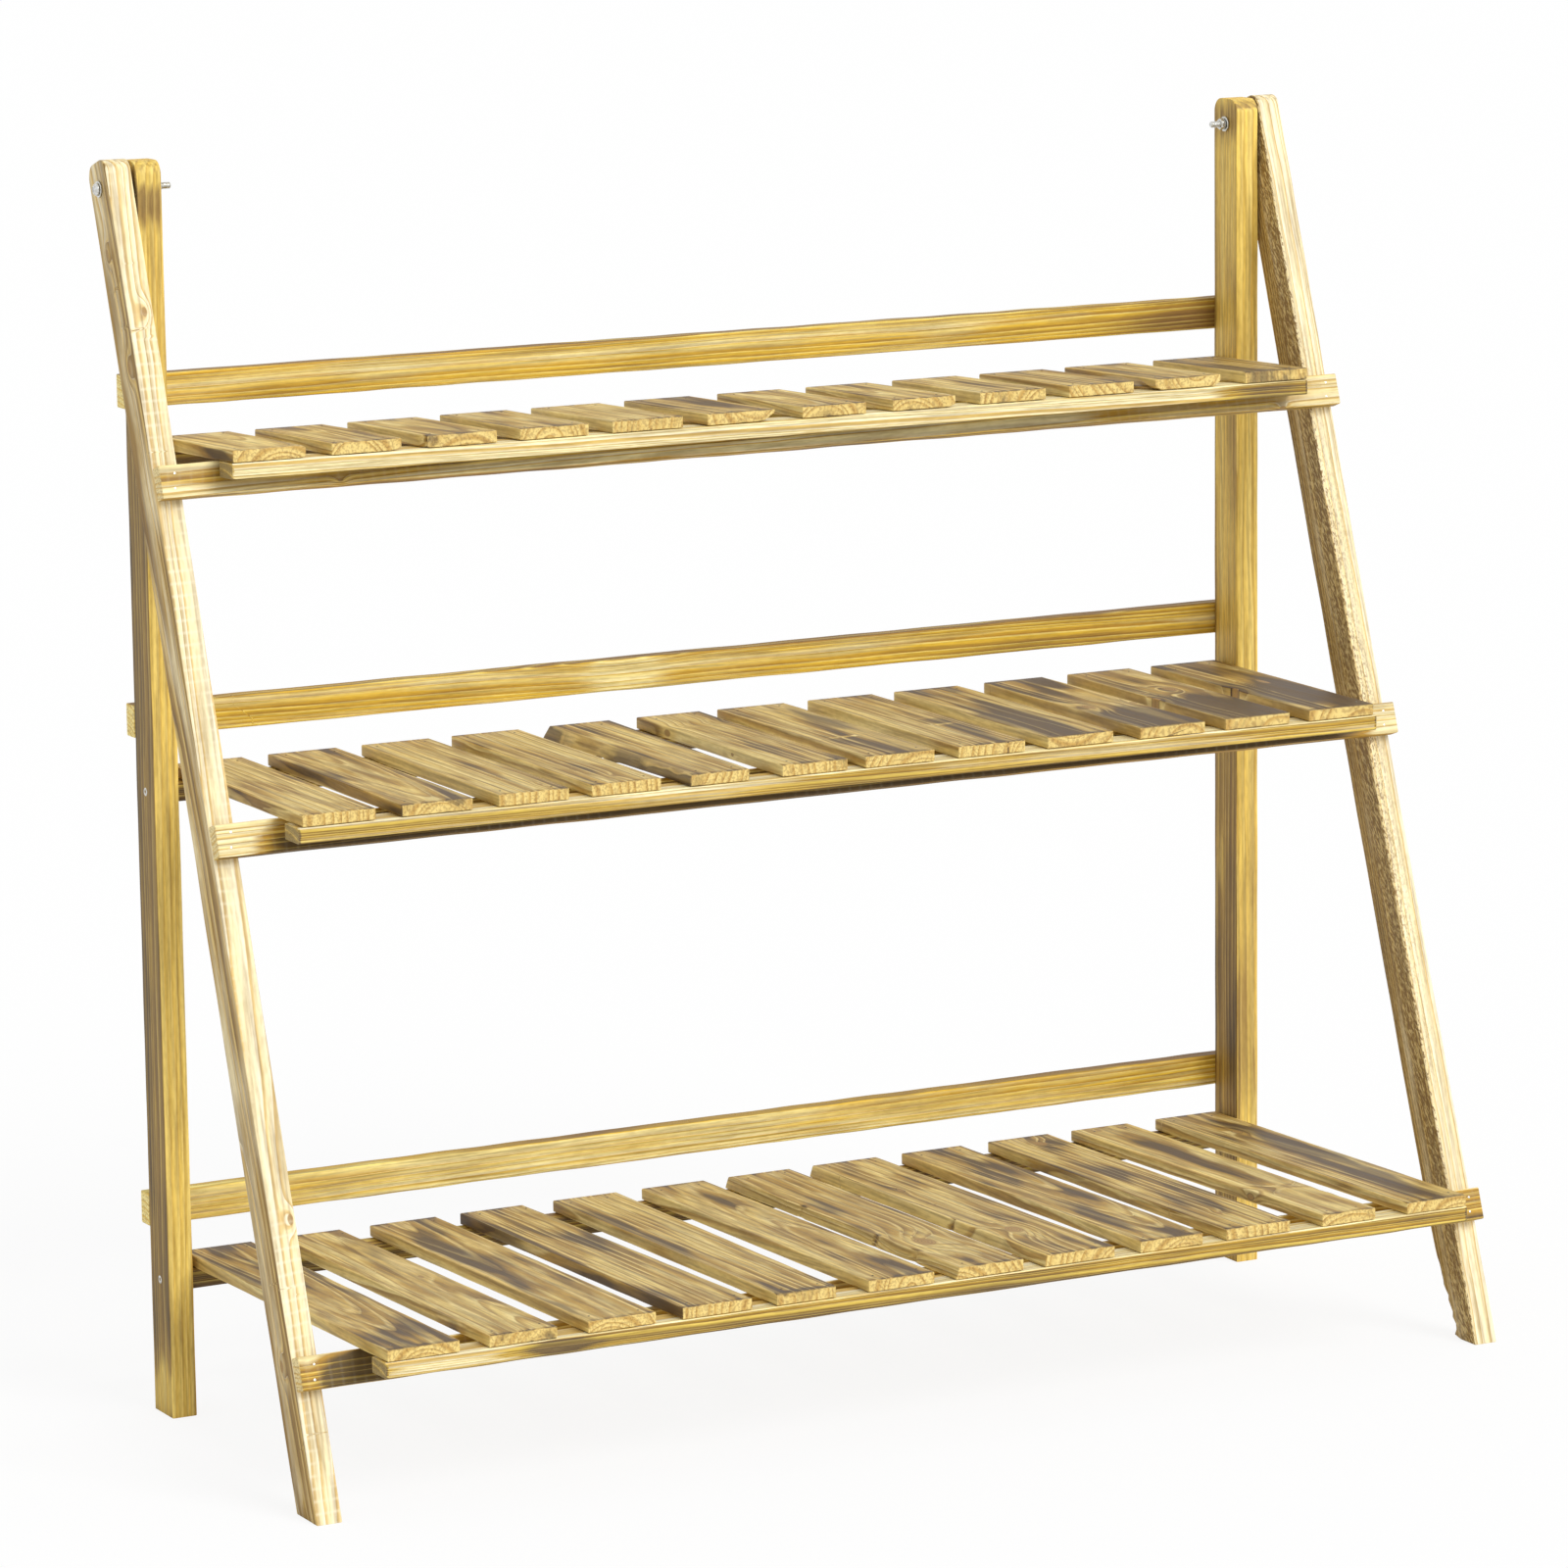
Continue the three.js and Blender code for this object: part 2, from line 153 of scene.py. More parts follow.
def tube_faces(rings: int, sides: int) -> list[tuple[int, ...]]:
    """Quads between successive closed rings of points, with one face on each end ring.

    Args:
        rings: Number of rings.
        sides: Points of each ring.

    Returns:
        Vertex numbers of each face, for rings stored one after another.
    """
    start = (np.arange(rings - 1) * sides)[:, None]
    here = np.arange(sides)[None, :]
    after = (here + 1) % sides
    quads = np.stack(
        [start + here, start + after, start + sides + after, start + sides + here], axis=-1
    ).reshape(-1, 4)
    faces = [tuple(q) for q in quads.tolist()]
    faces.append(tuple(range(sides))[::-1])
    faces.append(tuple(range((rings - 1) * sides, rings * sides)))
    return faces


# ---- Nodes ------------------------------------------------------------------------------------
class Tree:
    """The nodes of a material or of the world, with one small function that adds a node."""

    def __init__(self, owner: bpy.types.Material | bpy.types.World) -> None:
        """Empties the owner's node tree.

        Args:
            owner: The material or world whose nodes these are.
        """
        owner.use_nodes = True
        self.nodes = owner.node_tree.nodes
        self.links = owner.node_tree.links
        self.nodes.clear()

    def add(
        self, kind: str, inputs: dict | Sequence = (), stops: Sequence = (), **settings: object
    ) -> bpy.types.Node:
        """Adds a node with its settings and links.

        Args:
            kind: The node type's name, without "ShaderNode".
            inputs: Values, nodes or sockets by socket name or number, or in the sockets' order.
                A node stands for its first output.
            stops: Position and value, a grey or a hex colour, of each stop of a colour ramp.
            **settings: Properties of the node.

        Returns:
            The new node.
        """
        node = self.nodes.new("ShaderNode" + kind)
        for key, value in settings.items():
            setattr(node, key, value)
        for key, value in inputs.items() if isinstance(inputs, dict) else enumerate(inputs):
            source = value.outputs[0] if isinstance(value, bpy.types.Node) else value
            if isinstance(source, bpy.types.NodeSocket):
                self.links.new(source, node.inputs[key])
            elif isinstance(source, str):
                node.inputs[key].default_value = linear(source)
            else:
                node.inputs[key].default_value = source
        for number, (position, value) in enumerate(stops):
            elements = node.color_ramp.elements
            stop = elements[number] if number < 2 else elements.new(position)
            stop.position = position
            stop.color = linear(value) if isinstance(value, str) else (value, value, value, 1.0)
        return node


NOISES = (  # name, size along and across the grain in millimetres, detail and roughness
    ("sway", 210.0, 34.0, 1.0, 0.4),  # the trunk's own waviness
    ("ripple", 30.0, 8.0, 1.0, 0.4),  # small waves in its rings
    ("patch", 95.0, 17.0, 1.5, 0.45),  # the flame's passes
    ("streak", 170.0, 4.6, 2.0, 0.55),  # the flame running along the grain
    ("fibre", 80.0, 2.5, 1.5, 0.55),  # brushed fibres, drawn wider than real so that they show
    ("speck", 9.0, 1.8, 1.0, 0.5),  # where the brush crossed the rings, wider than real too
)
# Stops of one year's colour ramp, each with the number of its colour: young spring wood, ripe
# spring wood, summer wood, its edge, and the next spring.
SEASONS = ((0.0, 0), (0.46, 1), (0.66, 1), (0.78, 2), (0.92, 3), (1.0, 0))
KNOT_SWELL = 2.3  # how far round a knot the rings are lifted, in knot radii
PLANER_STEP = 9.0  # between the planer's strokes, in millimetres
TOOTH_LENGTH, TOOTH_WIDTH = 5.0, 1.3  # of a saw tooth's mark, in millimetres
Shade = bpy.types.Node | bpy.types.NodeSocket | str
Layer = tuple[Shade, Shade]  # how much of it shows, and its colour


@dataclass(frozen=True)
class Wood:
    """Sawn fir whose faces were passed over with a flame and then brushed along the grain.

    The flame browns the soft spring wood and spares the hard summer wood, so that a scorched
    face shows thin light rings on brown, and a spared face thin brown rings on gold.
    """

    name: str
    spared: tuple[str, str, str, str]  # spring wood young, ripe, summer wood and its edge
    burnt: tuple[str, str, str, str]  # the same four where the flame passed
    char: str  # deepest scorch
    ring: float = 3.0  # width of one year, in millimetres, up to twice the real one so that it shows
    grip: float = 1.0  # how strongly the rings show
    blotch: float = 1.0  # how unevenly the flame passed
    roughness: float = 0.6

    def build(self) -> bpy.types.Material:
        """Makes the material.

        Returns:
            The finished material.
        """
        material = bpy.data.materials.new(self.name)
        WoodTree(material, self).surface()
        return material


class WoodTree(Tree):
    """A wood's nodes, from the board's attributes and from noises drawn along its grain."""

    def __init__(self, owner: bpy.types.Material, wood: Wood) -> None:
        """Reads the attributes that Board.dress stores, and works out what the layers share.

        Args:
            owner: The wood's material.
            wood: Its values.
        """
        super().__init__(owner)
        self.wood = wood
        add = self.add
        grain, finish, knot, marks = (
            add("Attribute", attribute_name=name).outputs["Vector"]
            for name in ("grain", "finish", "knot", "marks")
        )
        self.grain = grain  # place in the log: along, and out from the pith
        # The flame's depth also carries painted shade along the cross rails' front faces.
        self.flame, self.cut, self.tone = add("SeparateXYZ", [finish]).outputs
        self.sawn, self.dead, self.worn = add("SeparateXYZ", [marks]).outputs
        self.cutter = add("Attribute", attribute_name="cutter").outputs["Fac"]
        self.girth = add("SeparateXYZ", [knot]).outputs[2]  # the nearest knot's radius
        spread = add("VectorMath", [knot, (1, 1, 0)], operation="MULTIPLY")
        self.away = add("VectorMath", [spread], operation="LENGTH").outputs["Value"]
        self.noises = {}
        for name, along, across, detail, rough in NOISES:
            scale = (1 / (along * MM), 1 / (across * MM), 1 / (across * MM))
            place = add("VectorMath", [grain, scale], operation="MULTIPLY")
            self.noises[name] = add(
                "TexNoise", {"Vector": place, "Scale": 1.0, "Detail": detail, "Roughness": rough}
            )
        self.phase, self.seasons = self.rings()
        self.depth = self.scorch()

    def rings(self) -> tuple[bpy.types.Node, bpy.types.Node]:
        """Year rings about the pith, which rise around a knot like a hill's contour lines.

        The distance from the pith is swayed by noise, and a knot adds 2 girth exp(-(away / s)^2)
        to it, where s is its swell.

        Returns:
            The place within a year, from nought to one, and how much one year differs from others.
        """
        add = self.add
        hill = self.away
        for number, operation in ((1 / KNOT_SWELL, "MULTIPLY"), (2.0, "POWER"), (-1.0, "MULTIPLY")):
            hill = add("Math", [hill, number], operation=operation)
        hill = add("Math", [hill], operation="EXPONENT")
        for factor in (self.girth, 2.0):
            hill = add("Math", [hill, factor], operation="MULTIPLY")
        section = add("VectorMath", [self.grain, (0, 1 / MM, 1 / MM)], operation="MULTIPLY")
        radius = add("VectorMath", [section], operation="LENGTH").outputs["Value"]
        for word, reach in (("sway", 5.5), ("ripple", 0.6)):
            radius = add("Math", [self.noises[word], reach, radius], operation="MULTIPLY_ADD")
        radius = add("Math", [radius, hill], operation="ADD")
        years = add("Math", [radius, 1 / self.wood.ring], operation="MULTIPLY")
        seasons = add(
            "TexNoise", {"W": years, "Scale": 0.31, "Detail": 1.5}, noise_dimensions="1D"
        )
        years = add("Math", [seasons, 4.2, years], operation="MULTIPLY_ADD")
        return add("Math", [years], operation="FRACT"), seasons

    def scorch(self) -> bpy.types.Node:
        """How deep the flame went: the board's own depth, with the painted shade on the cross rails,
        and, about it, the flame's passes.

        Some years take more of it than others, spring wood more than summer wood, and worn edges
        less.

        Returns:
            The depth, about nought on a spared face and one on a charred one.
        """
        depth = self.flame
        for source, reach in (
            (self.noises["patch"], 1.5 * self.wood.blotch),
            (self.noises["streak"], 0.5 * self.wood.blotch),
            (self.seasons, 1.1),
            (self.noises["fibre"], 0.5),
            (self.phase, -0.2),
        ):
            change = self.add("Math", [source, 0.5], operation="SUBTRACT")  # about its middle
            depth = self.add("Math", [change, reach, depth], operation="MULTIPLY_ADD")
        return self.add("Math", [self.worn, -0.35, depth], operation="MULTIPLY_ADD")

    def ground(self) -> bpy.types.NodeSocket:
        """The rings' colours on spared and on burnt wood, mixed by the flame's depth.

        Where years are thin their rings fade, and where the flame went deepest they are charred.

        Returns:
            The colour.
        """
        add, wood = self.add, self.wood
        grip = add("ValToRGB", [self.seasons], ((0.3, wood.grip), (0.7, wood.grip * 0.7)))
        browned = add("ValToRGB", [self.depth], ((0.16, 0.0), (0.5, 1.0)))
        charred = add("ValToRGB", [self.depth], ((0.62, 0.0), (1.0, 1.0)))
        summer_spared = add("ValToRGB", [self.phase], ((0.7, 0.92), (0.85, 0.7)))
        coal = add("Math", [charred, summer_spared], operation="MULTIPLY")
        faces = []
        for tints in (wood.spared, wood.burnt):
            year = add("ValToRGB", [self.phase], [(at, tints[i]) for at, i in SEASONS])
            faces.append(add("Mix", {0: grip, 6: tints[1], 7: year}, data_type="RGBA").outputs[2])
        colour = faces[0]
        for share, over in ((browned, faces[1]), (coal, wood.char)):
            colour = add("Mix", {0: share, 6: colour, 7: over}, data_type="RGBA").outputs[2]
        return colour

    def end_grain(self) -> Layer:
        """Cut ends: darker rings over open pores, less plain where the flame went deep.

        Returns:
            How much of the end grain shows, and its colour.
        """
        add = self.add
        _, ripe, summer, _ = self.wood.spared
        lines = add("ValToRGB", [self.phase], ((0.4, ripe), (0.9, summer), (1.0, ripe)))
        pores = add("ValToRGB", [self.noises["speck"]], ((0.38, "#a07c44"), (0.54, "#fff6e2")))
        ends = add("Mix", {0: 0.5, 6: lines, 7: pores}, data_type="RGBA", blend_type="MULTIPLY")
        cut = self.cut
        for factor in (0.85, add("ValToRGB", [self.depth], ((0.4, 1.0), (0.9, 0.3)))):
            cut = add("Math", [cut, factor], operation="MULTIPLY")
        return cut, ends.outputs[2]

    def knots(self) -> list[Layer]:
        """Knots: fine rings in a brown heart, and a black rim round a dead one.

        Returns:
            How much of the heart and of the rim shows, each with its colour.
        """
        add = self.add
        present = add("Math", [self.girth, 0.01], operation="GREATER_THAN")
        heart = add("Math", [self.away, 4.0], operation="MULTIPLY")
        heart = add("Math", [heart], operation="FRACT")
        heart = add("ValToRGB", [heart], ((0.0, "#97703a"), (0.7, "#b18c4f"), (1.0, "#6f4f2a")))
        inner = add("ValToRGB", [self.away], ((0.7, 0.9), (1.0, 0.0)))
        inner = add("Math", [inner, present], operation="MULTIPLY")
        rim = add("ValToRGB", [self.away], ((0.72, 0.0), (0.86, 1.0), (0.94, 1.0), (1.0, 0.0)))
        for factor in (self.dead, present):
            rim = add("Math", [rim, factor], operation="MULTIPLY")
        return [(inner, heart), (rim, "#3a2615")]

    def tool_marks(self) -> list[Layer]:
        """The planer's pale bars across the grain, and the marks of saw teeth on a rough face.

        Tooth marks slant. They leave dark hollows, and fibres stand up pale between them.

        Returns:
            How much of the bars, the hollows and the raised fibres shows, each with its colour.
        """
        add = self.add
        along = add("SeparateXYZ", [self.grain])
        bars = add(
            "Math", [along, 1 / (PLANER_STEP * MM), self.noises["sway"]], operation="MULTIPLY_ADD"
        )
        bars = add("Math", [bars], operation="FRACT")
        bars = add("ValToRGB", [bars], ((0.0, 1.0), (0.2, 0.0), (0.8, 0.0), (1.0, 1.0)))
        patches = add("ValToRGB", [self.noises["patch"]], ((0.44, 0.0), (0.62, 0.4)))
        for factor in (patches, self.cutter):
            bars = add("Math", [bars, factor], operation="MULTIPLY")
        turn = {"Vector": self.grain, "Angle": math.radians(18)}
        slant = add("VectorRotate", turn, rotation_type="Z_AXIS")
        scale = (1 / (TOOTH_LENGTH * MM), 1 / (TOOTH_WIDTH * MM), 1 / (TOOTH_WIDTH * MM))
        slant = add("VectorMath", [slant, scale], operation="MULTIPLY")
        teeth = add("TexNoise", {"Vector": slant, "Scale": 1.0, "Detail": 3.0, "Distortion": 0.5})
        layers = [(bars, "#fdf5da")]
        for stops, tint in (
            (((0.4, 1.0), (0.52, 0.0)), "#846637"),
            (((0.5, 0.0), (0.6, 0.75)), "#e2cb8e"),
        ):
            share = add("ValToRGB", [teeth], stops)
            layers.append((add("Math", [share, self.sawn], operation="MULTIPLY"), tint))
        return layers

    def surface(self) -> None:
        """Lays the layers over one another, adds gloss and relief, and links the output."""
        add, noises = self.add, self.noises
        colour = self.ground()
        for word, low, high, share in (
            ("fibre", "#9f8f70", "#fffdf6", 0.62), ("speck", "#cbbfa6", "#ffffff", 0.3)
        ):
            brushed = add("ValToRGB", [noises[word]], ((0.32, low), (0.6, high)))
            colour = add(
                "Mix", {0: share, 6: colour, 7: brushed}, data_type="RGBA", blend_type="MULTIPLY"
            ).outputs[2]
        marks = self.tool_marks()
        for share, over in [self.end_grain(), *self.knots(), *marks]:
            colour = add("Mix", {0: share, 6: colour, 7: over}, data_type="RGBA").outputs[2]

        # Every board has its own tone, and worn long edges are paler.
        value = add("Math", [self.tone, 1.0], operation="ADD")
        value = add("Math", [self.worn, 0.12, value], operation="MULTIPLY_ADD")
        colour = add("HueSaturation", {"Value": value, "Color": colour})

        # Hard summer wood, fibres and specks stand up, and torn hollows lie low.
        height = add("ValToRGB", [self.phase], ((0.6, 0.0), (0.9, 1.0), (1.0, 0.0)))
        torn = marks[1][0]
        for source, rise in ((noises["fibre"], 0.9), (noises["speck"], 0.5), (torn, -1.0)):
            height = add("Math", [source, rise, height], operation="MULTIPLY_ADD")
        bump = add("Bump", {"Strength": 0.6, "Distance": 0.3 * MM, "Height": height})
        base = self.wood.roughness - 0.12
        rough = add("Math", [noises["fibre"], 0.25, base], operation="MULTIPLY_ADD")
        shader = add(
            "BsdfPrincipled",
            {"Base Color": colour, "Roughness": rough, "IOR": 1.5, "Normal": bump},
        )
        add("OutputMaterial", {"Surface": shader})


@dataclass(frozen=True)
class Steel:
    """Plated or bare steel: bright on its high spots, duller and yellower where it was handled."""

    name: str
    bright: str
    dull: str
    roughness: float
    mottle: float = 1.6  # size of the surface's patches, in millimetres

    def build(self) -> bpy.types.Material:
        """Makes the material from noise on the object's own coordinates.

        Returns:
            The finished material.
        """
        material = bpy.data.materials.new(self.name)
        tree = Tree(material)
        place = tree.add("TexCoord").outputs["Object"]
        patches = tree.add(
            "TexNoise", {"Vector": place, "Scale": 1 / (self.mottle * MM), "Detail": 3.0}
        )
        colour = tree.add("ValToRGB", [patches], ((0.35, self.dull), (0.65, self.bright)))
        rough = tree.add("Math", [patches, 0.18, self.roughness], operation="MULTIPLY_ADD")
        bump = tree.add("Bump", {"Strength": 0.15, "Distance": 0.05 * MM, "Height": patches})
        surface = tree.add(
            "BsdfPrincipled",
            {"Base Color": colour, "Metallic": 1.0, "Roughness": rough, "Normal": bump},
        )
        tree.add("OutputMaterial", {"Surface": surface})
        return material


# ---- Boards -----------------------------------------------------------------------------------
class Side(Enum):
    """A side of the stand, as the direction that it faces."""

    LEFT = (-1.0, 0.0, 0.0)
    RIGHT = (1.0, 0.0, 0.0)
    FRONT = (0.0, -1.0, 0.0)
    BACK = (0.0, 1.0, 0.0)
    UP = (0.0, 0.0, 1.0)
    DOWN = (0.0, 0.0, -1.0)


@dataclass(frozen=True)
class Log:
    """Where a board was cut from: the pith's place seen from the board's middle, in millimetres."""

    across: float = 0.0
    below: float = 30.0
    drift: float = 0.045  # how fast the pith sinks along the board
    sway: float = 0.0  # how fast it moves across
    years: float = 1.0  # width of its years against the wood's usual width


@dataclass(frozen=True)
class Knot:
    """A branch sawn through, by its place along and across the board and its radius, in mm."""

    along: float
    across: float
    radius: float
    dead: float = 0.0
    edgewise: bool = False  # it runs across the board's width and shows on its narrow sides
    stretch: float = 1.8  # how much longer than wide it was cut


@dataclass(frozen=True)
class BurnAndShade:
    """A place where the flame stayed (or, below nought, was kept away), in millimetres; the long bands
    on the cross rails' front faces are painted shade.
    """

    along: float
    across: float
    length: float
    breadth: float
    depth: float
    side: Side | None = None  # every side if none


@dataclass(frozen=True)
class Wane:
    """A long edge missing where the log was round, in millimetres along the board."""

    edge: tuple[int, int]  # signs of its side and of its face
    start: float
    end: float
    depth: float  # into the width
    slope: float = 0.8  # fall of the rounding per millimetre


@dataclass(frozen=True)
class Notch:
    """A splintered bite out of one side, in millimetres along the board."""

    side: int
    along: float
    length: float
    depth: float


@dataclass
class Board:
    """A sawn board in its own frame: x along the grain, y across the face, z out of the face.

    The board takes its place and size from the CAD node that it replaces.
    """

    node: str
    body: str
    slot: str
    axes: np.ndarray  # rows are the board's x, y and z in the stand's frame
    log: Log = field(default_factory=Log)
    radius: float = EDGE_RADIUS
    flame: dict[Side, float] = field(default_factory=dict)
    plain_flame: float = 0.1  # on the sides that flame leaves out
    tone: float = 0.0
    knots: tuple[Knot, ...] = ()
    # flame spots, and on the cross rails long bands of painted shade
    burns_and_shade: tuple[BurnAndShade, ...] = ()
    wanes: tuple[Wane, ...] = ()
    notches: tuple[Notch, ...] = ()
    sawn: Side | None = None  # the face that was left rough
    cutter: float = 0.0  # how plainly the planer's strokes show on the front
    end_burn: float = 0.0  # how much deeper the flame bit along the top's ends
    top_radius: float = 0.0  # rounding of the upper end, in millimetres
    foot_slope: float = 0.0  # how much the lower end rises across the width
    edges: tuple[float, float] | None = None  # in the stand's X, in millimetres, if its own
    flare: tuple[float, float] = (0.0, 0.0)  # how far the edges wander to the back end
    splay: tuple[float, float] = (0.0, 0.0)  # how far the sides stand out at the underside
    bow: tuple[float, float] = (0.0, 0.0)  # swing of the middle across and out, in millimetres

    def __post_init__(self) -> None:
        """Measures the CAD node along the board's own axes."""
        mesh = frame["nodes"][self.node].data
        points = np.empty(len(mesh.vertices) * 3)
        mesh.vertices.foreach_get("co", points)
        local = points.reshape(-1, 3) @ self.axes.T
        low, high = local.min(0), local.max(0)
        if self.edges:
            low[1], high[1] = np.array(self.edges) * MM
        self.middle = (low + high) / 2
        self.half = (high - low) / 2
        self.seed = sum(ord(c) * (i + 1) for i, c in enumerate(self.node))

    def outline(self) -> tuple[np.ndarray, np.ndarray]:
        """The board's outline across the grain: a rectangle with quarter-circle corners.

        Returns:
            Core points (y, z) and unit normals, anticlockwise; a point of the outline lies at
            core + radius x normal, and an outline drawn in by d at core + (radius - d) x normal.
        """
        radius = self.radius * MM
        wide, thick = self.half[1] - radius, self.half[2] - radius
        turn = np.radians([0, 0, 22.5, 45, 67.5, 90])
        margin = FACE_MARGIN * MM
        support = np.array([margin, 0, 0, 0, 0, 0])
        corner = np.stack([np.full(6, wide), thick - support], axis=1)
        normal = np.stack([np.cos(turn), np.sin(turn)], axis=1)
        count = max(4, round(2 * wide / (FACE_STEP * MM)))
        across = np.linspace(wide - margin, margin - wide, count)
        face = np.stack([across, np.full(count, thick)], axis=1)
        core = np.concatenate([corner, face, corner[::-1] * [-1, 1]])
        out = np.concatenate([normal, np.tile([0.0, 1.0], (count, 1)), normal[::-1] * [-1, 1]])
        return np.concatenate([core, -core]), np.concatenate([out, -out])

    def skin(self) -> np.ndarray:
        """The plain board: its outline carried along the grain and drawn in at the ends.

        Near an end the outline is drawn in by e (1 - cos t) at e (1 - sin t) from it, where t
        goes from nought to a right angle and e is the ease of the sanded edge.

        Returns:
            Points of shape (rings, sides, 3), about the board's middle.
        """
        length, ease = self.half[0], END_EASE * MM
        turn = np.linspace(0, math.pi / 2, 4)
        from_end, inset = ease * (1 - np.sin(turn)), ease * (1 - np.cos(turn))
        from_end, inset = np.append(from_end, 0.0), np.append(inset, 0.95 * self.radius * MM)
        body = np.linspace(
            4 * ease - length, length - 4 * ease, max(6, round(2 * length / (STATION_STEP * MM)))
        )
        if self.top_radius:
            radius = self.top_radius * MM
            arc = length - radius + radius * np.sin(np.radians(np.arange(0, 86, 5)))
            body = np.concatenate([body[body < length - radius - 2 * MM], arc[arc < length - ease]])
        along = np.concatenate([(from_end - length)[::-1], body, length - from_end])
        inset = np.concatenate([inset[::-1], np.zeros(len(body)), inset])
        core, normal = self.outline()
        ring = core + normal * (self.radius * MM - inset[:, None, None])
        return np.concatenate([np.broadcast_to(along[:, None, None], ring[..., :1].shape), ring], -1)

    def shape(self, points: np.ndarray) -> np.ndarray:
        """Bends the plain skin into this board.

        A round top of radius r narrows it to half - r + sqrt(r^2 - rise^2). Flare and splay move
        the long sides in proportion to the way along and down, and the bow moves the middle by
        1 - (x / half)^2. Sides and faces then wander inwards, a bite takes away depth exp(-t^2) at
        t half lengths from its middle, the foot is cut level, and a wane slopes its face down
        past its line.

        Args:
            points: Rings of points in the board's frame, about its middle.

        Returns:
            The changed points.
        """
        x, y, z = (points[..., i].copy() for i in range(3))
        half = self.half
        share = y / half[1]
        if self.top_radius:
            radius = self.top_radius * MM
            rise = np.clip(x - (half[0] - radius), 0, radius)
            y *= (half[1] - radius + np.sqrt(radius**2 - rise**2)) / half[1]
        toward = (half[0] - x) / (2 * half[0])  # nought at the front end, one at the back end
        y += np.where(share > 0, self.flare[1], self.flare[0]) * MM * toward * np.abs(share)
        under = (1 - z / half[2]) / 2
        y += np.where(share > 0, self.splay[1], -self.splay[0]) * MM * under * np.abs(share)
        swing = 1 - (x / half[0]) ** 2
        y += self.bow[0] * MM * swing
        z += self.bow[1] * MM * swing
        # The shift by the sign gives opposite sides different waves.
        lost = 0.5 + 0.5 * np.clip(waves(self.seed, x + 0.3 * np.sign(y), 0.12), -1, 1)
        y -= SIDE_WANDER * MM * share * lost
        lost = 0.5 + 0.5 * np.clip(waves(self.seed + 7, x + 0.2 * np.sign(z), 0.16), -1, 1)
        z -= FACE_WANDER * MM * np.sign(z) * lost
        for notch in self.notches:
            bite = np.exp(-(((x - notch.along * MM) / (notch.length * MM / 2)) ** 2))
            bite = bite * (1 + 0.4 * waves(self.seed + 31, x, 0.009))  # splinters
            # A deep bite draws in the whole half of the board, a shallow one its edge alone.
            power = min(3.0, 0.9 * half[1] / (notch.depth * MM))
            y -= notch.side * notch.depth * MM * bite * np.clip(notch.side * share, 0, 1) ** power
        if self.foot_slope:
            fade = 1 - smooth(x, -half[0], -half[0] + FOOT_FADE * MM)
            x += (abs(self.foot_slope) * half[1] - self.foot_slope * y) * fade
        for number, wane in enumerate(self.wanes):
            sign_y, sign_z = wane.edge
            middle, reach = (wane.start + wane.end) / 2 * MM, abs(wane.end - wane.start) / 2 * MM
            swell = np.clip(1 - ((x - middle) / reach) ** 2, 0, 1) ** 0.6
            swell = swell * (1 + 0.25 * waves(self.seed + 11 * number, x, 0.05))
            over = np.maximum(sign_y * y - (half[1] - wane.depth * MM * swell), 0)
            cut = half[2] - wane.slope * over * (1 + 0.5 * over / half[1])
            z = np.where(over > 0, sign_z * np.minimum(sign_z * z, cut), z)
        return np.stack([x, y, z], axis=-1)

    def about_knots(self, place: np.ndarray) -> tuple[np.ndarray, np.ndarray]:
        """Where each point is about its nearest knot.

        Args:
            place: Places along, across and out of the board, in millimetres from its middle.

        Returns:
            Place in knot radii and the knot's radius, one row per point, and how dead the knot is.
        """
        x, y, z = place
        knot = np.tile(NO_KNOT, (len(x), 1))
        dead = np.zeros(len(x))
        closest = np.full(len(x), KNOT_REACH)
        for one in self.knots:
            aside = z if one.edgewise else y
            about = np.stack(
                [(x - one.along) / (one.stretch * one.radius), (aside - one.across) / one.radius], 1
            )
            distance = np.linalg.norm(about, axis=1)
            nearer = distance < closest
            closest = np.where(nearer, distance, closest)
            knot[nearer, :2], knot[nearer, 2] = about[nearer], one.radius
            dead[nearer] = one.dead
        return knot, dead

    def facing(self, place: np.ndarray) -> dict[Side, np.ndarray]:
        """How much each point belongs to each side, from nought to one.

        Args:
            place: Places along, across and out of the board, in millimetres from its middle.

        Returns:
            One array for each side.
        """
        on = {}
        for side in Side:
            toward = self.axes @ np.array(side.value)
            axis = int(np.argmax(np.abs(toward)))
            reach = place[axis] * np.sign(toward[axis])
            limit = self.half[axis] / MM
            on[side] = smooth(reach, limit - 1.1 * self.radius, limit - 0.35)
        return on

    def flamed_and_shaded(self, place: np.ndarray, on: dict[Side, np.ndarray]) -> np.ndarray:
        """How deep the flame went, painted shade included: each side's own depth, and exp(-t^2) about
        each burn or band of painted shade.

        Args:
            place: Places along, across and out of the board, in millimetres from its middle.
            on: How much each point belongs to each side.

        Returns:
            The depth at each point.
        """
        x, y, _ = place
        flame = np.full(len(x), self.plain_flame)
        for side, depth in self.flame.items():
            flame += (depth - self.plain_flame) * on[side]
        for burn_and_shade in self.burns_and_shade:
            spot = np.exp(
                -(((x - burn_and_shade.along) / burn_and_shade.length) ** 2) - ((y - burn_and_shade.across) / burn_and_shade.breadth) ** 2
            )
            flame += burn_and_shade.depth * spot * (on[burn_and_shade.side] if burn_and_shade.side else 1.0)
        tip = smooth(np.abs(x), self.half[0] / MM - 7, self.half[0] / MM - 0.6)
        return flame + self.end_burn * tip * on[Side.UP]

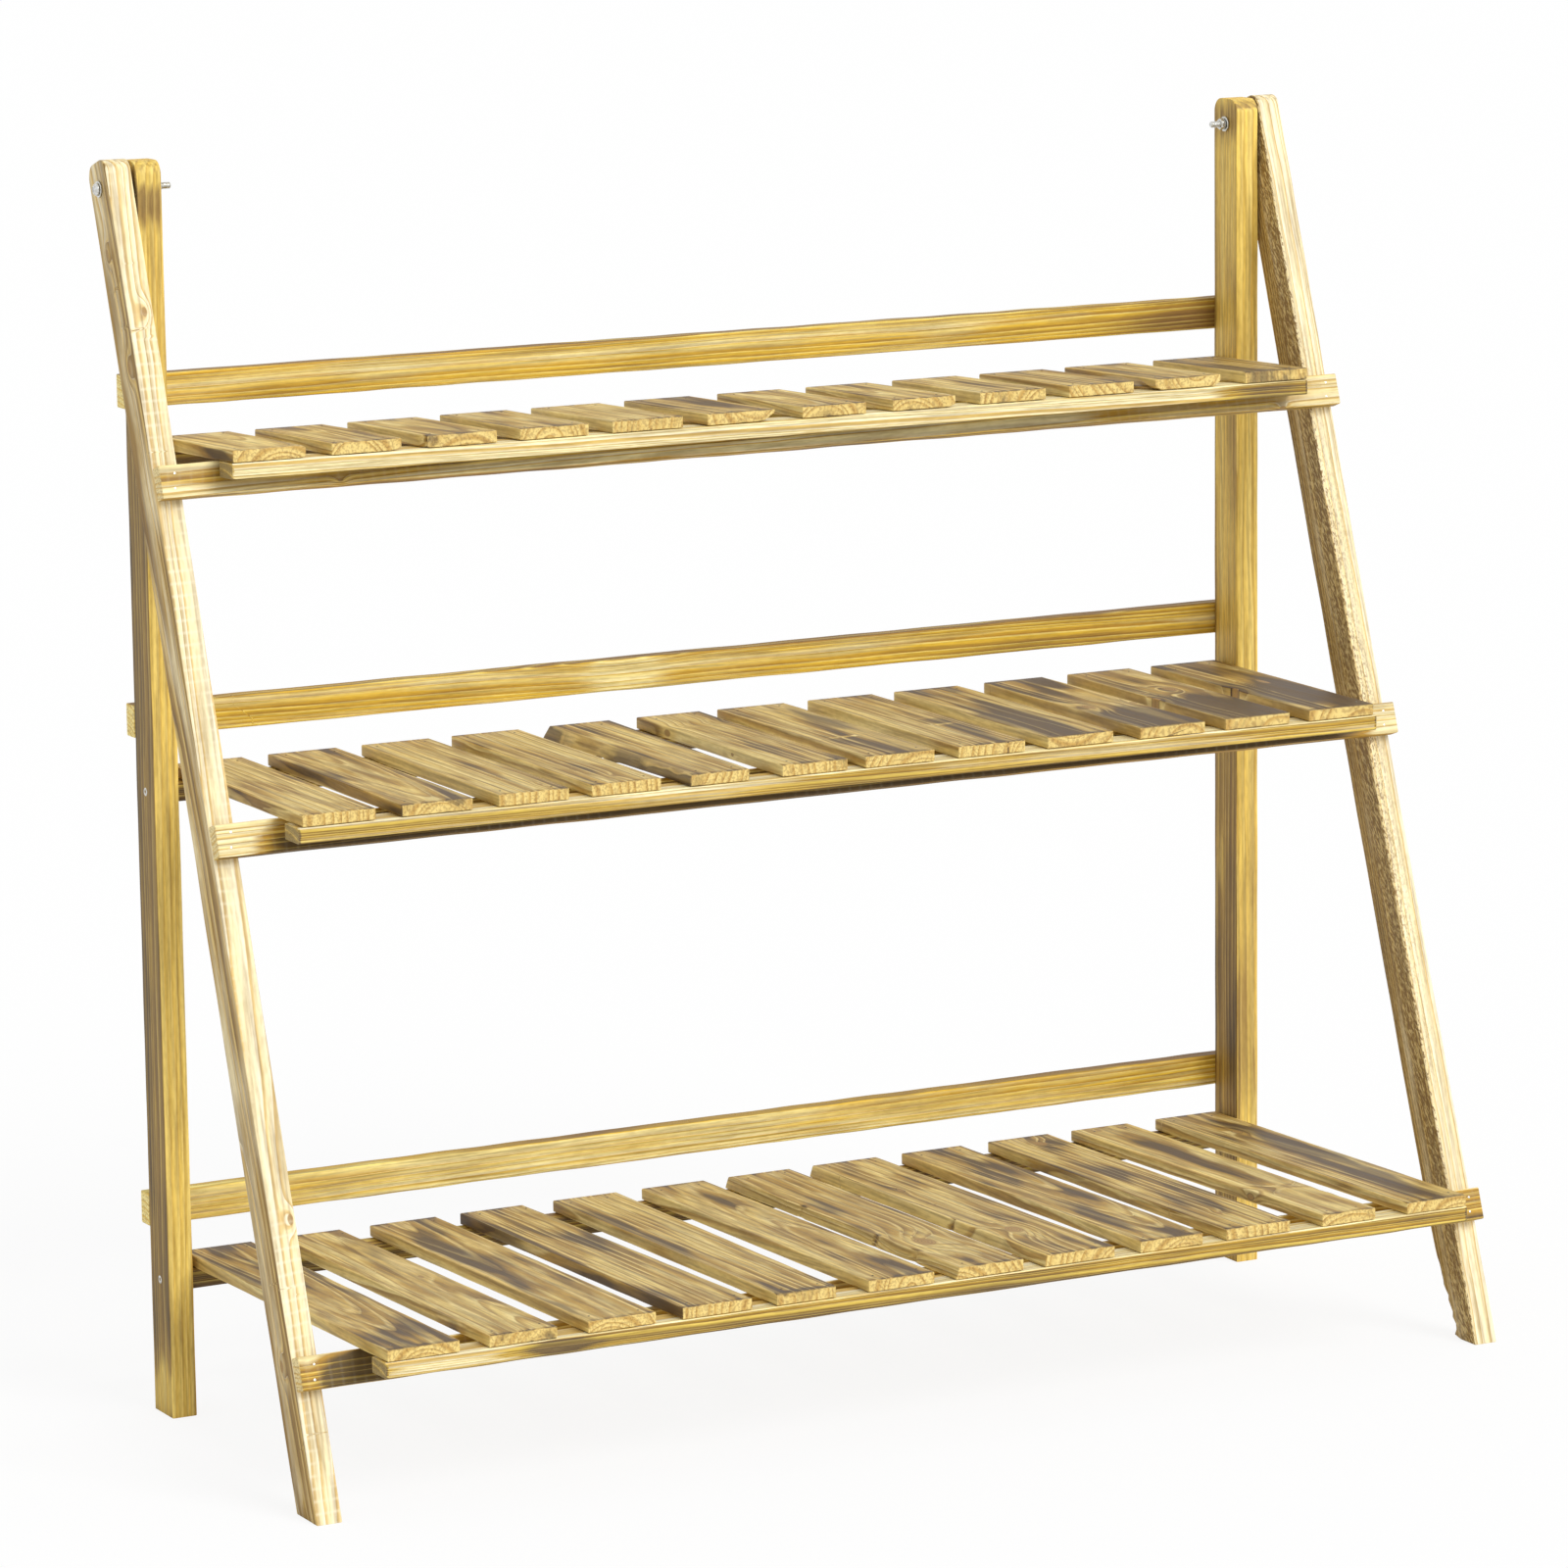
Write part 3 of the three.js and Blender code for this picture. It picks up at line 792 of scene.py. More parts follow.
    def dress(self, thing: bpy.types.Object) -> None:
        """Stores the attributes that the wood material reads.

        grain is the place in the log, along and out from the pith, in metres. finish holds the
        flame's depth, with the painted shade along the cross rails' front faces, how much of the
        surface is a cut end, and the tone. knot holds the place about the nearest knot in knot
        radii, and its radius in millimetres. marks holds saw roughness, how dead the knot is, and
        the worn long edges. cutter holds how plainly the planer's strokes show.

        Args:
            thing: The board's finished object.
        """
        mesh = thing.data
        points = np.empty(len(mesh.vertices) * 3)
        mesh.vertices.foreach_get("co", points)
        place = (points.reshape(-1, 3) @ self.axes.T - self.middle).T / MM
        x, y, z = place
        long, wide, thick = self.half / MM
        knot, dead = self.about_knots(place)
        on = self.facing(place)
        worn = 4 * smooth(np.abs(y), wide - 1.2, wide - 0.3)
        worn = worn * smooth(np.abs(z), thick - 1.2, thick - 0.3)
        end = smooth(np.abs(x), long - 0.5, long - 0.15)
        if self.foot_slope:
            end = np.maximum(end, (points[2::3] < 0.1 * MM) * 1.0)
        sawn = on[self.sawn] * (0.3 + 0.7 * smooth(y, -5, 4)) if self.sawn else np.zeros(len(x))
        log = self.log
        grain = [
            x + self.seed * 37 % 5000,  # no two boards share their grain
            (y - log.across - log.sway * x) / log.years,
            (z + log.below + log.drift * x) / log.years,
        ]
        for name, values in (
            ("grain", np.stack(grain, 1) * MM),
            ("finish", np.stack([self.flamed_and_shaded(place, on), end, np.full(len(x), self.tone)], 1)),
            ("knot", knot),
            ("marks", np.stack([sawn, dead, np.clip(worn, 0, 1)], 1)),
        ):
            layer = mesh.attributes.new(name, "FLOAT_VECTOR", "POINT")
            layer.data.foreach_set("vector", values.astype(np.float32).ravel())
        strokes = (self.cutter * on[Side.FRONT]).astype(np.float32)
        mesh.attributes.new("cutter", "FLOAT", "POINT").data.foreach_set("value", strokes)

    def build(self, material: bpy.types.Material) -> bpy.types.Object:
        """Makes the board, which stands for its CAD node and rides on its body.

        Args:
            material: The wood's finished material.

        Returns:
            The board's object.
        """
        skin = self.skin()
        points = (self.shape(skin).reshape(-1, 3) + self.middle) @ self.axes
        thing = mesh_object(f"{self.node}_board", points, tube_faces(*skin.shape[:2]))
        self.dress(thing)
        thing.data.materials.append(material)
        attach(thing, self.body)
        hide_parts(self.node)
        LOG.info("%s: %d points", thing.name, len(points))
        return thing


# ---- Turned and small pieces ------------------------------------------------------------------
@dataclass(frozen=True)
class Ring:
    """One ring of a turned piece: where it is on the axis, its radius, and its number of sides.

    With sides the ring is a polygon of that many sides whose flats lie at the radius. A thread
    is the height of a screw thread's ridge on it. All lengths are in millimetres.
    """

    along: float
    radius: float
    sides: int = 0
    thread: float = 0.0


def turned(rings: Sequence[Ring], steps: int = 36) -> np.ndarray:
    """Rings carried round the X axis.

    A round ring has the same radius r all round. A polygon of n flats has r / cos(a) where a is
    the angle from the middle of the nearest flat. A thread adds h cos(turn - 2 pi x / pitch).

    Args:
        rings: The profile, from one end to the other.
        steps: Points of each ring.

    Returns:
        Points of shape (rings, steps, 3), in metres.
    """
    angle = np.linspace(0, 2 * math.pi, steps, endpoint=False)[None, :]
    along, radius, sides, thread = (
        np.array([getattr(r, key) for r in rings], float)[:, None]
        for key in ("along", "radius", "sides", "thread")
    )
    flat = 2 * math.pi / np.maximum(sides, 1)
    aside = np.mod(angle + flat / 2, flat) - flat / 2
    radius = np.where(sides > 0, radius / np.cos(np.where(sides > 0, aside, 0.0)), radius)
    radius = radius + thread * np.cos(angle - 2 * math.pi * along / THREAD_PITCH)
    along = np.broadcast_to(along, radius.shape)
    return np.stack([along, radius * np.cos(angle), radius * np.sin(angle)], axis=-1) * MM


def axes_of(along: Sequence[float], out: Sequence[float]) -> np.ndarray:
    """A board's axes from its grain direction and its face direction, as rows."""
    x, z = np.array(along, float), np.array(out, float)
    return np.array([x, np.cross(z, x), z])


@dataclass
class Turnings:
    """Small turned pieces of one body, as one mesh, such as the heads of its nails."""

    name: str
    body: str
    slot: str = "zinc"
    replaced: tuple[str, ...] = ()
    points: list[np.ndarray] = field(default_factory=list)
    faces: list[tuple[int, ...]] = field(default_factory=list)

    def put(
        self, shape: np.ndarray, place: Sequence[float], out: Sequence[float], hollow: bool = False
    ) -> None:
        """Adds a turned piece.

        Args:
            shape: Its rings, along the X axis.
            place: Where its axis starts, in metres.
            out: The direction in which its axis runs.
            hollow: Whether the last ring meets the first one, as in a washer.
        """
        lift = np.array(Vector(out).to_track_quat("X", "Z").to_matrix())
        start = sum(len(p) for p in self.points)
        count, steps = shape.shape[:2]
        faces = tube_faces(count, steps)
        if hollow:
            last = (count - 1) * steps
            faces = faces[:-2] + [
                (last + i, last + (i + 1) % steps, (i + 1) % steps, i) for i in range(steps)
            ]
        self.points.append(shape.reshape(-1, 3) @ lift.T + np.array(place))
        self.faces += [tuple(start + i for i in face) for face in faces]

    def build(self, material: bpy.types.Material) -> bpy.types.Object:
        """Makes the mesh, which rides on its body.

        Args:
            material: The steel.

        Returns:
            The object that holds every piece.
        """
        thing = mesh_object(self.name, np.concatenate(self.points), self.faces)
        thing.data.materials.append(material)
        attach(thing, self.body)
        if self.replaced:
            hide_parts(*self.replaced)
        LOG.info("%s: %d turned pieces", self.name, len(self.points))
        return thing


# Heads seen flush in the wood, from just under the surface to their middle.
NAIL_HEAD = turned(
    [Ring(-0.5, 1.0), Ring(0.1, 1.05), Ring(0.2, 0.9), Ring(0.25, 0.6), Ring(0.26, 0.2)], 12
)
BRAD_HEAD = turned([Ring(-0.5, 0.85), Ring(0.08, 0.85), Ring(0.14, 0.6), Ring(0.1, 0.15)], 10)


@dataclass
class Hinge:
    """The bolt that joins a front leg to a rear leg, with its washers and nut, in millimetres."""

    side: str
    place: Sequence[float]  # the hinge line's point in the middle of the stand
    head_height: float = 3.2
    head_radius: float = 4.75
    socket: float = 1.5  # of the hexagon recess, to its flats
    bolt_radius: float = 2.5
    nut_flat: float = 4.0  # from the nut's axis to its flats

    def span(self, piece: str) -> tuple[float, float, float]:
        """The extent of a piece's CAD node.

        Args:
            piece: Its name between "hinge_" and the side.

        Returns:
            Its inner and outer end from the stand's middle, and its radius, in millimetres.
        """
        low, high = (np.array(corner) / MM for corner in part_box(f"hinge_{piece}_{self.side}"))
        near, far = sorted(abs(v) for v in (low[0], high[0]))
        return near, far, (high[1] - low[1]) / 2

    def bolt(self) -> list[Ring]:
        """From the threaded tail to the domed head with its hexagon recess.

        The dome is h sin(t) high at R cos(t) from the axis, with t up to 70 degrees, where the
        recess begins. The thread's rings lie 0.1 mm apart.

        Returns:
            The bolt's profile.
        """
        tail, top, _ = self.span("bolt")
        nut = self.span("nut")[1]
        seat = top - self.head_height
        rings = [Ring(tail, 1.7), Ring(tail + 0.5, 2.15)]
        rings += [Ring(x, 2.25, 0, 0.22) for x in np.arange(tail + 0.6, nut, 0.1)]
        rings += [Ring(nut, self.bolt_radius), Ring(seat, self.bolt_radius)]
        rings += [Ring(seat, self.head_radius - 0.15), Ring(seat + 0.3, self.head_radius)]
        dome = (self.head_height - 0.4) / math.sin(math.radians(70))
        for t in np.radians([12, 30, 48, 62, 70]):
            rings.append(Ring(seat + 0.4 + dome * math.sin(t), self.head_radius * math.cos(t)))
        rim = rings[-1]
        rings += [Ring(top, rim.radius - 0.1), Ring(top - 0.1, self.socket + 0.12, 6)]
        rings += [Ring(top - 0.3, self.socket, 6), Ring(top - 1.7, self.socket, 6)]
        return rings + [Ring(top - 1.9, 0.8)]

    def washer(self, piece: str) -> list[Ring]:
        """A flat ring with softened edges.

        Args:
            piece: Which washer: "outer_washer" or "inner_washer".

        Returns:
            Its profile, round to the middle of the hole.
        """
        near, far, radius = self.span(piece)
        hole = self.bolt_radius + 0.2
        return [
            Ring(near, hole + 0.1), Ring(near, radius - 0.25), Ring(near + 0.15, radius),
            Ring(far - 0.15, radius), Ring(far, radius - 0.25), Ring(far, hole + 0.1),
            Ring((near + far) / 2, hole),
        ]

    def nut(self) -> list[Ring]:
        """A hexagon whose corners are turned off at both ends.

        Returns:
            Its profile, round to the hole.
        """
        near, far, _ = self.span("nut")
        flat, hole = self.nut_flat, self.bolt_radius
        outside = [
            Ring(near, hole + 0.5), Ring(near, flat - 0.3), Ring(near + 0.12, flat - 0.05),
            Ring(near + 0.45, flat, 6), Ring(far - 0.45, flat, 6),
            Ring(far - 0.12, flat - 0.05), Ring(far, flat - 0.3), Ring(far, hole + 0.5),
        ]
        return outside + [Ring(far - 0.5, hole), Ring(near + 0.5, hole)]

    def build(self, zinc: bpy.types.Material) -> None:
        """Makes the four pieces, each for its own CAD node.

        Args:
            zinc: The finished material of all four.
        """
        out = (-1.0 if self.side == "left" else 1.0, 0.0, 0.0)
        for piece, rings, hollow in (
            ("bolt", self.bolt(), False),
            ("outer_washer", self.washer("outer_washer"), True),
            ("inner_washer", self.washer("inner_washer"), True),
            ("nut", self.nut(), True),
        ):
            node = f"hinge_{piece}_{self.side}"
            made = Turnings(f"{node}_turned", "rear_frame", replaced=(node,))
            made.put(turned(rings), self.place, out, hollow)
            made.build(zinc)


# ---- Finishes ---------------------------------------------------------------------------------
# Fir passed over with a flame and brushed: cream or gold where the flame was short, with darker
# rings; brown where it stayed, with pale rings; smoky grey where it burned. The brush leaves a
# soft, low gloss.
FRONT_WOOD = Wood(
    "fir_front_brushed",  # the palest
    spared=("#fdf4d8", "#f8e8ba", "#e6c988", "#d4b068"),
    burnt=("#8f6f32", "#b39046", "#ead088", "#dab966"),
    char="#6b5433",
    ring=3.8,
    blotch=0.7,
)
CROSS_RAIL_WOOD = Wood(
    "fir_cross_rail_brushed",  # golden; the dark olive brown band below the shelf is painted shade
    spared=("#fcf2cc", "#f5e4a8", "#dcb75f", "#c89e44"),
    burnt=("#936c1c", "#c6992c", "#f2d878", "#e2c050"),
    char="#4f3d17",
    ring=4.2,
    blotch=0.5,
)
LEG_WOOD = Wood(
    "fir_rear_leg_brushed",  # warmer, with close straight rings
    spared=("#f6e08c", "#ebca62", "#dab450", "#cba044"),
    burnt=("#8b6d34", "#aa8a46", "#d8be74", "#c8a858"),
    char="#5b4a30",
    ring=4.6,
    grip=0.7,
    blotch=0.6,
)
GUARD_WOOD = Wood(
    "fir_back_rail_brushed",  # golden ground with light parallel rings
    spared=("#fdf4c4", "#f9e99c", "#e4c052", "#cea53a"),
    burnt=("#b48621", "#e2bb38", "#fdf096", "#f6dc68"),
    char="#7a5826",
    ring=4.2,
    blotch=0.35,
)
SLAT_WOOD = Wood(
    "fir_slat_scorched",  # brown ground, light rings, smoky grey patches
    spared=("#f6e6a8", "#e8cf82", "#c19a4c", "#a37c36"),
    burnt=("#8a6a2e", "#be9a4a", "#fcebac", "#f0d688"),
    char="#523f2a",
    ring=6.2,  # twice the real width, since finer lines break up on a face seen this flat
    grip=0.85,
    blotch=1.7,
    roughness=0.54,
)
SHELF_RAIL_WOOD = Wood(
    "fir_shelf_rail_brushed",  # bright gold with pale stripes, cream where spared
    spared=("#fef7d8", "#faecb4", "#e6c66c", "#d6ae4c"),
    burnt=("#94701c", "#c79e30", "#fae68c", "#e8cb5c"),
    char="#5a4630",
    ring=4.2,
    blotch=0.4,
)
# Zinc-plated steel, bright with a faint crystal mottle.
ZINC = Steel("zinc_plated_steel", bright="#dfe1e2", dull="#bdb9aa", roughness=0.22)
# Bare nail wire, dulled by the flame.
BRAD = Steel("nail_wire_bare", bright="#8d8678", dull="#4d4436", roughness=0.42)


# ---- Sub-assemblies ---------------------------------------------------------------------------
@dataclass
class Frames:
    """The two hinged frames: legs, cross rails and back rails, with their nails and bolts."""

    hinge: dict  # the joint between the frames
    nail_inset: float = 11.0  # from a rail's end, in millimetres
    nail_apart: float = 11.0
    nail_stagger: float = 0.7  # how far the upper and the lower nail are out of line
    nail_sink: float = 0.3  # how deep their heads are driven

    @property
    def lean(self) -> float:
        """How far the front frame leans, in radians: its range down to closed."""
        return math.radians(self.hinge["range_deg"][1])

    @property
    def up(self) -> np.ndarray:
        """Along the front legs."""
        return np.array([0.0, math.sin(self.lean), math.cos(self.lean)])

    @property
    def face(self) -> np.ndarray:
        """Out of the front frame's front."""
        return np.array([0.0, -math.cos(self.lean), math.sin(self.lean)])

    def rear_legs(self) -> list[Board]:
        """Upright legs, dark where the flame stayed below their pale tops.

        Returns:
            The left and the right leg.
        """
        axes = {sign: axes_of((0, 0, 1), (sign, 0, 0)) for sign in (-1, 1)}
        return [
            Board(
                "rear_leg_left", "rear_frame", "leg_wood", axes[-1],
                Log(across=-55, below=52, drift=0.006), top_radius=LEG_TOP_RADIUS,
                flame={Side.LEFT: 0.8, Side.FRONT: -0.05, Side.BACK: 0.3}, tone=-0.01,
                burns_and_shade=(
                    BurnAndShade(440, 0, 18, 60, 0.7, Side.FRONT),
                    BurnAndShade(440, 0, 30, 60, 0.4, Side.LEFT),
                    BurnAndShade(471, 0, 12, 60, -0.8),
                    BurnAndShade(-455, 0, 26, 60, -0.7),
                ),
            ),
            Board(
                "rear_leg_right", "rear_frame", "leg_wood", axes[1],
                Log(across=-58, below=-50, drift=0.005), top_radius=LEG_TOP_RADIUS,
                flame={Side.RIGHT: 0.3, Side.FRONT: -0.2, Side.LEFT: 0.2}, tone=0.14,
                burns_and_shade=(
                    BurnAndShade(455, 0, 16, 60, 0.5), BurnAndShade(-260, 0, 220, 60, 0.55),
                    BurnAndShade(280, 0, 190, 60, -0.4, Side.FRONT),
                    BurnAndShade(0, -17, 500, 3, 0.35, Side.LEFT),
                ),
            ),
        ]

    def front_legs(self) -> list[Board]:
        """Leaning legs, cut level at the foot; the right one is rough-sawn inside.

        Returns:
            The left and the right leg.
        """
        slope = math.tan(self.lean)
        return [
            Board(
                "front_leg_left", "front_frame", "front_wood", axes_of(self.up, (-1, 0, 0)),
                Log(across=20, below=30, drift=0.02, sway=0.008, years=1.3), top_radius=LEG_TOP_RADIUS,
                flame={Side.LEFT: 0.45, Side.FRONT: -0.7, Side.BACK: 0.2}, tone=0.02,
                foot_slope=-slope, cutter=0.8,
                knots=(
                    Knot(-384, 2.5, 3.0), Knot(346, -3.8, 3.2), Knot(433, 4, 2.4),
                    Knot(-282, -6, 2.6, edgewise=True), Knot(384, -3, 2.4, edgewise=True),
                ),
                burns_and_shade=(BurnAndShade(-455, 0, 40, 60, 0.15), BurnAndShade(-490, 0, 10, 4, 0.5, Side.LEFT)),
            ),
            Board(
                "front_leg_right", "front_frame", "front_wood", axes_of(self.up, (1, 0, 0)),
                Log(across=50, below=50, drift=0.006), top_radius=LEG_TOP_RADIUS,
                flame={Side.LEFT: 0.6, Side.FRONT: -0.8, Side.RIGHT: 0.1}, tone=0.03,
                foot_slope=slope, sawn=Side.LEFT, bow=(0.0, -1.6),
                burns_and_shade=(BurnAndShade(461, 0, 14, 60, 0.5), BurnAndShade(-300, 0, 60, 60, -0.1)),
                notches=(Notch(-1, -500, 104, 12.5),),
            ),
        ]

    def rails(self) -> list[Board]:
        """Cross rails on the front legs and back rails on the rear legs.

        Returns:
            The six rails, by tier from the top.
        """
        # The long burns along each cross rail's front face, 900 and 1200 mm long, are painted shade
        # under the shelf's front rail: a thin painted shadow line on the top rail, and wider bands of
        # painted shade on the middle and bottom ones.
        cross = (
            {"log": Log(across=-46, below=14, sway=0.02, drift=0.01),
             "knots": (Knot(447, -12, 1.8), Knot(-360, -9, 1.5)),
             "burns_and_shade": (BurnAndShade(0, 1, 900, 4, 0.5, Side.FRONT), BurnAndShade(-495, 0, 30, 60, -0.3, Side.FRONT),
                       BurnAndShade(492, 0, 30, 60, -0.3, Side.FRONT))},
            {"log": Log(across=52, below=10, sway=0.004, drift=0.0),
             "burns_and_shade": (BurnAndShade(-490, 0, 32, 60, -1.4, Side.FRONT), BurnAndShade(492, 0, 26, 60, -1.2, Side.FRONT),
                       BurnAndShade(0, -6, 1200, 22, 0.95, Side.FRONT))},
            {"log": Log(across=-50, below=12, sway=0.01, drift=0.0),
             "burns_and_shade": (BurnAndShade(-435, 0, 38, 60, 1.1, Side.FRONT), BurnAndShade(-492, 0, 10, 60, -0.4, Side.FRONT),
                       BurnAndShade(0, -8, 1200, 12, 0.6, Side.FRONT))},
        )
        guard = (
            {"log": Log(across=-50, below=10, sway=0.006, drift=0.0, years=0.8),
             "burns_and_shade": (BurnAndShade(430, 0, 90, 60, 0.5, Side.FRONT),)},
            {"log": Log(across=-48, below=14, sway=-0.01, drift=0.0, years=0.8),
             "knots": (Knot(-80, 30, 9.0, stretch=3.0),),
             "burns_and_shade": (BurnAndShade(-72, 0, 26, 60, -0.75, Side.FRONT), BurnAndShade(330, 0, 120, 60, 0.3, Side.FRONT))},
            {"log": Log(across=-54, below=8, sway=0.005, drift=0.0),
             "burns_and_shade": (BurnAndShade(-100, 0, 300, 60, -0.3, Side.FRONT),)},
        )
        found = []
        for number, tier in enumerate(TIERS):
            found.append(
                Board(
                    f"front_rail_{tier}", "front_frame", "front_wood", axes_of((1, 0, 0), self.face),
                    flame={Side.FRONT: 0.3, Side.UP: 0.1, Side.DOWN: 0.7}, cutter=0.12,
                    **cross[number],
                )
            )
            found.append(
                Board(
                    f"back_rail_{tier}", "rear_frame", "back_rail_wood",
                    axes_of((1, 0, 0), (0, -1, 0)),
                    flame={Side.FRONT: 0.4, Side.UP: 0.9, Side.BACK: 0.4, Side.DOWN: 0.4}, tone=0.05,
                    **guard[number],
                )
            )
        return found

    def nails(self) -> list[Turnings]:
        """Two nails, one above the other, where each rail crosses a leg.

        Returns:
            The nails of the front frame and those of the rear frame.
        """
        front = Turnings("front_frame_nails", "front_frame")
        rear = Turnings("rear_frame_nails", "rear_frame")
        for tier in TIERS:
            for kind, nails, out, rise in (
                ("front", front, self.face, self.up),
                ("back", rear, np.array([0.0, 1.0, 0.0]), np.array([0.0, 0.0, 1.0])),
            ):
                rail = Board(f"{kind}_rail_{tier}", "", "", axes_of((1, 0, 0), out))
                for sign in (-1, 1):
                    for step in (-1, 1):
                        along = sign * (rail.half[0] - self.nail_inset * MM)
                        along += self.nail_stagger * MM * step
                        place = rail.middle @ rail.axes + [along, 0, 0]
                        place = place + out * (rail.half[2] - self.nail_sink * MM)
                        nails.put(NAIL_HEAD, place + rise * step * self.nail_apart / 2 * MM, out)
        return [front, rear]

    def build(self, materials: dict[Wood, bpy.types.Material], zinc: bpy.types.Material) -> None:
        """Makes every board, nail and bolt of the two frames.

        Args:
            materials: The finished material of each wood.
            zinc: The steel of nails and bolts.
        """
        for board in self.rear_legs():
            board.build(materials[LEG_WOOD])
        for board in self.front_legs():
            board.build(materials[FRONT_WOOD])
        for board in self.rails():
            front = board.body == "front_frame"
            board.build(materials[CROSS_RAIL_WOOD if front else GUARD_WOOD])
        for nails in self.nails():
            nails.build(zinc)
        for side in ("left", "right"):
            Hinge(side, self.hinge["pos_m"]).build(zinc)


@dataclass(frozen=True)
class Slat:
    """What makes one slat differ from the others; edges in the stand's X, in millimetres."""

    left: float
    right: float
    flame: float = 0.35
    side_flame: float = -0.4
    end_flame: float = -0.1
    log: Log = field(default_factory=Log)
    flare: tuple[float, float] = (0.0, 0.0)
    splay: tuple[float, float] = (0.0, 0.0)
    knots: tuple[Knot, ...] = ()
    burns_and_shade: tuple[BurnAndShade, ...] = ()
    wanes: tuple[Wane, ...] = ()
    notches: tuple[Notch, ...] = ()


